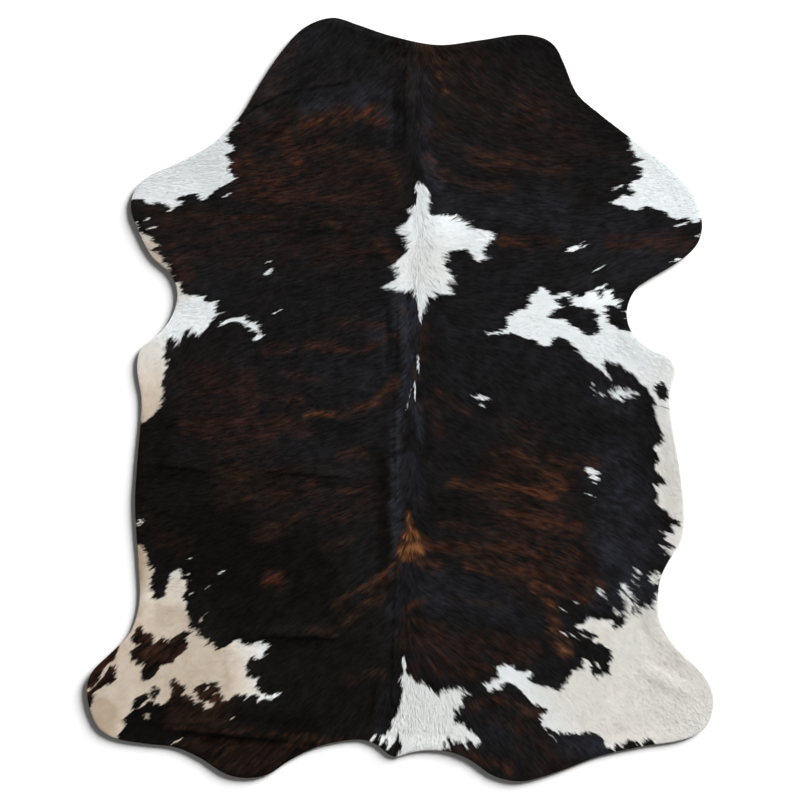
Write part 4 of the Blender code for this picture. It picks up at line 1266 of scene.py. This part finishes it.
def blade_map(mesh, side):
    """Gives each blade a small cell of its own on the piece's map, laid out as the blades are."""
    corner_points = np.empty(len(mesh.loops), dtype=np.int32)
    mesh.loops.foreach_get("vertex_index", corner_points)
    blade, corner = np.divmod(corner_points, BLADE_POINTS)
    across, along = np.array(CELL_CORNERS).T[:, corner]
    places = np.column_stack([(blade % side + across) / side, (blade // side + along) / side])
    layer = mesh.uv_layers.new(name="OFBake")
    layer.data.foreach_set("uv", places.astype(np.float32).ravel())


def unit(vectors):
    """Each vector at length 1."""
    return vectors / np.linalg.norm(vectors, axis=1)[:, None]


def shade_with_skin(mesh, skin_normals):
    """Draws each blade's normal towards the skin's, so the coat is lit as one soft surface."""
    points = np.empty(len(mesh.vertices) * 3, dtype=np.float32)
    mesh.vertices.foreach_get("co", points)
    points = points.reshape(-1, BLADE_POINTS, 3)
    normals = unit(np.cross(points[:, 2] - points[:, 0], points[:, 1] - points[:, 0]))
    normals = unit(normals * (1.0 - SKIN_SHADING) + skin_normals * SKIN_SHADING)
    mesh.normals_split_custom_set_from_vertices(np.repeat(normals, BLADE_POINTS, axis=0).tolist())


def grown_mesh(places, values, tree, settings):
    """The blades that the tree grows on some of the roots, as a plain mesh."""
    mesh = bpy.data.meshes.new("roots")
    mesh.from_pydata((places * MM).tolist(), [], [])
    for name, column in values.items():
        store(mesh, name, column, "FLOAT_VECTOR" if name == "turn" else "FLOAT")
    holder = new_object("roots", mesh)
    modifier = holder.modifiers.new("hair", "NODES")
    modifier.node_group = tree
    for name, value in settings.items():
        modifier[tree.interface.items_tree[name].identifier] = value
    depsgraph = bpy.context.evaluated_depsgraph_get()
    coat = bpy.data.meshes.new_from_object(holder.evaluated_get(depsgraph), depsgraph=depsgraph)
    bpy.data.objects.remove(holder)
    for name in ("turn", "length", "width", "pale"):
        if name in coat.attributes:
            coat.attributes.remove(coat.attributes[name])
    return coat


def build_coat(rim, distance, lay, chart):
    """The coat in bands across the hide, each a plain mesh of blades."""
    places, values, skin_normals = hair_roots(rim, distance, lay, chart)
    tree, blade = hair_tree(), blade_template()
    settings = {"Hair length": HAIR_LENGTH * MM, "Hair width": HAIR_WIDTH * MM, "Blade": blade,
                "Dark hair": dark_hair(), "Pale hair": pale_hair()}
    pieces = []
    for order, side in band_orders(places):
        banded = {name: column[order] for name, column in values.items()}
        coat = grown_mesh(places[order], banded, tree, settings)
        blade_map(coat, side)
        shade_with_skin(coat, skin_normals[order])
        coat.name = f"coat_{len(pieces) + 1}"
        pieces.append(new_object(coat.name, coat))
    bpy.data.objects.remove(blade)
    return pieces


# ---------------------------------------------------------------- the studio

def studio():
    """A white floor, soft even light with a low key from the upper right, and the camera above."""
    scene = bpy.context.scene
    mesh = bpy.data.meshes.new("floor")
    corners = ((-1, -1), (1, -1), (1, 1), (-1, 1))
    mesh.from_pydata([(x * FLOOR_HALF, y * FLOOR_HALF, -FLOOR_DROP) for x, y in corners],
                     [], [(0, 1, 2, 3)])
    mesh.materials.append(painted_floor())
    floor = new_object("floor", mesh)

    world = bpy.data.worlds.new("studio")
    world.use_nodes = True
    background = world.node_tree.nodes["Background"]
    background.inputs["Color"].default_value = (1.0, 1.0, 1.0, 1.0)
    background.inputs["Strength"].default_value = FILL_LIGHT
    scene.world = world

    lamp = bpy.data.lights.new("key", "SUN")
    lamp.energy = KEY_LIGHT
    lamp.angle = math.radians(KEY_WIDTH)
    key = new_object("key", lamp)
    key.rotation_euler = (math.radians(90.0 - KEY_HEIGHT), 0.0, math.radians(KEY_BEARING + 90.0))

    lens = bpy.data.cameras.new("camera")
    lens.lens = LENS
    lens.sensor_width = SENSOR
    lens.clip_end = CAMERA_REACH
    camera = new_object("camera", lens)
    camera.location = (CHART_MIDDLE[0] * MM, CHART_MIDDLE[1] * MM, CAMERA_HEIGHT)
    scene.camera = camera
    scene.view_settings.view_transform = "Standard"


def main():
    """Builds the studio and the dressed hide, sets each piece on the root body and hides the imported
    hide.
    """
    studio()
    rim = smooth_ring(packed_rim(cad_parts["hide"]), RIM_STEP)
    distance = rim_distance(rim)
    lay = ReadGrid(rim, lay_of_hair)
    chart = ReadGrid(rim, charted_strokes, cell=4.0)
    skin = build_skin(rim, distance, lay, chart)
    coat = build_coat(rim, distance, lay, chart)
    for piece in [skin] + coat:
        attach(piece, "root")
    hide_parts("hide")


main()
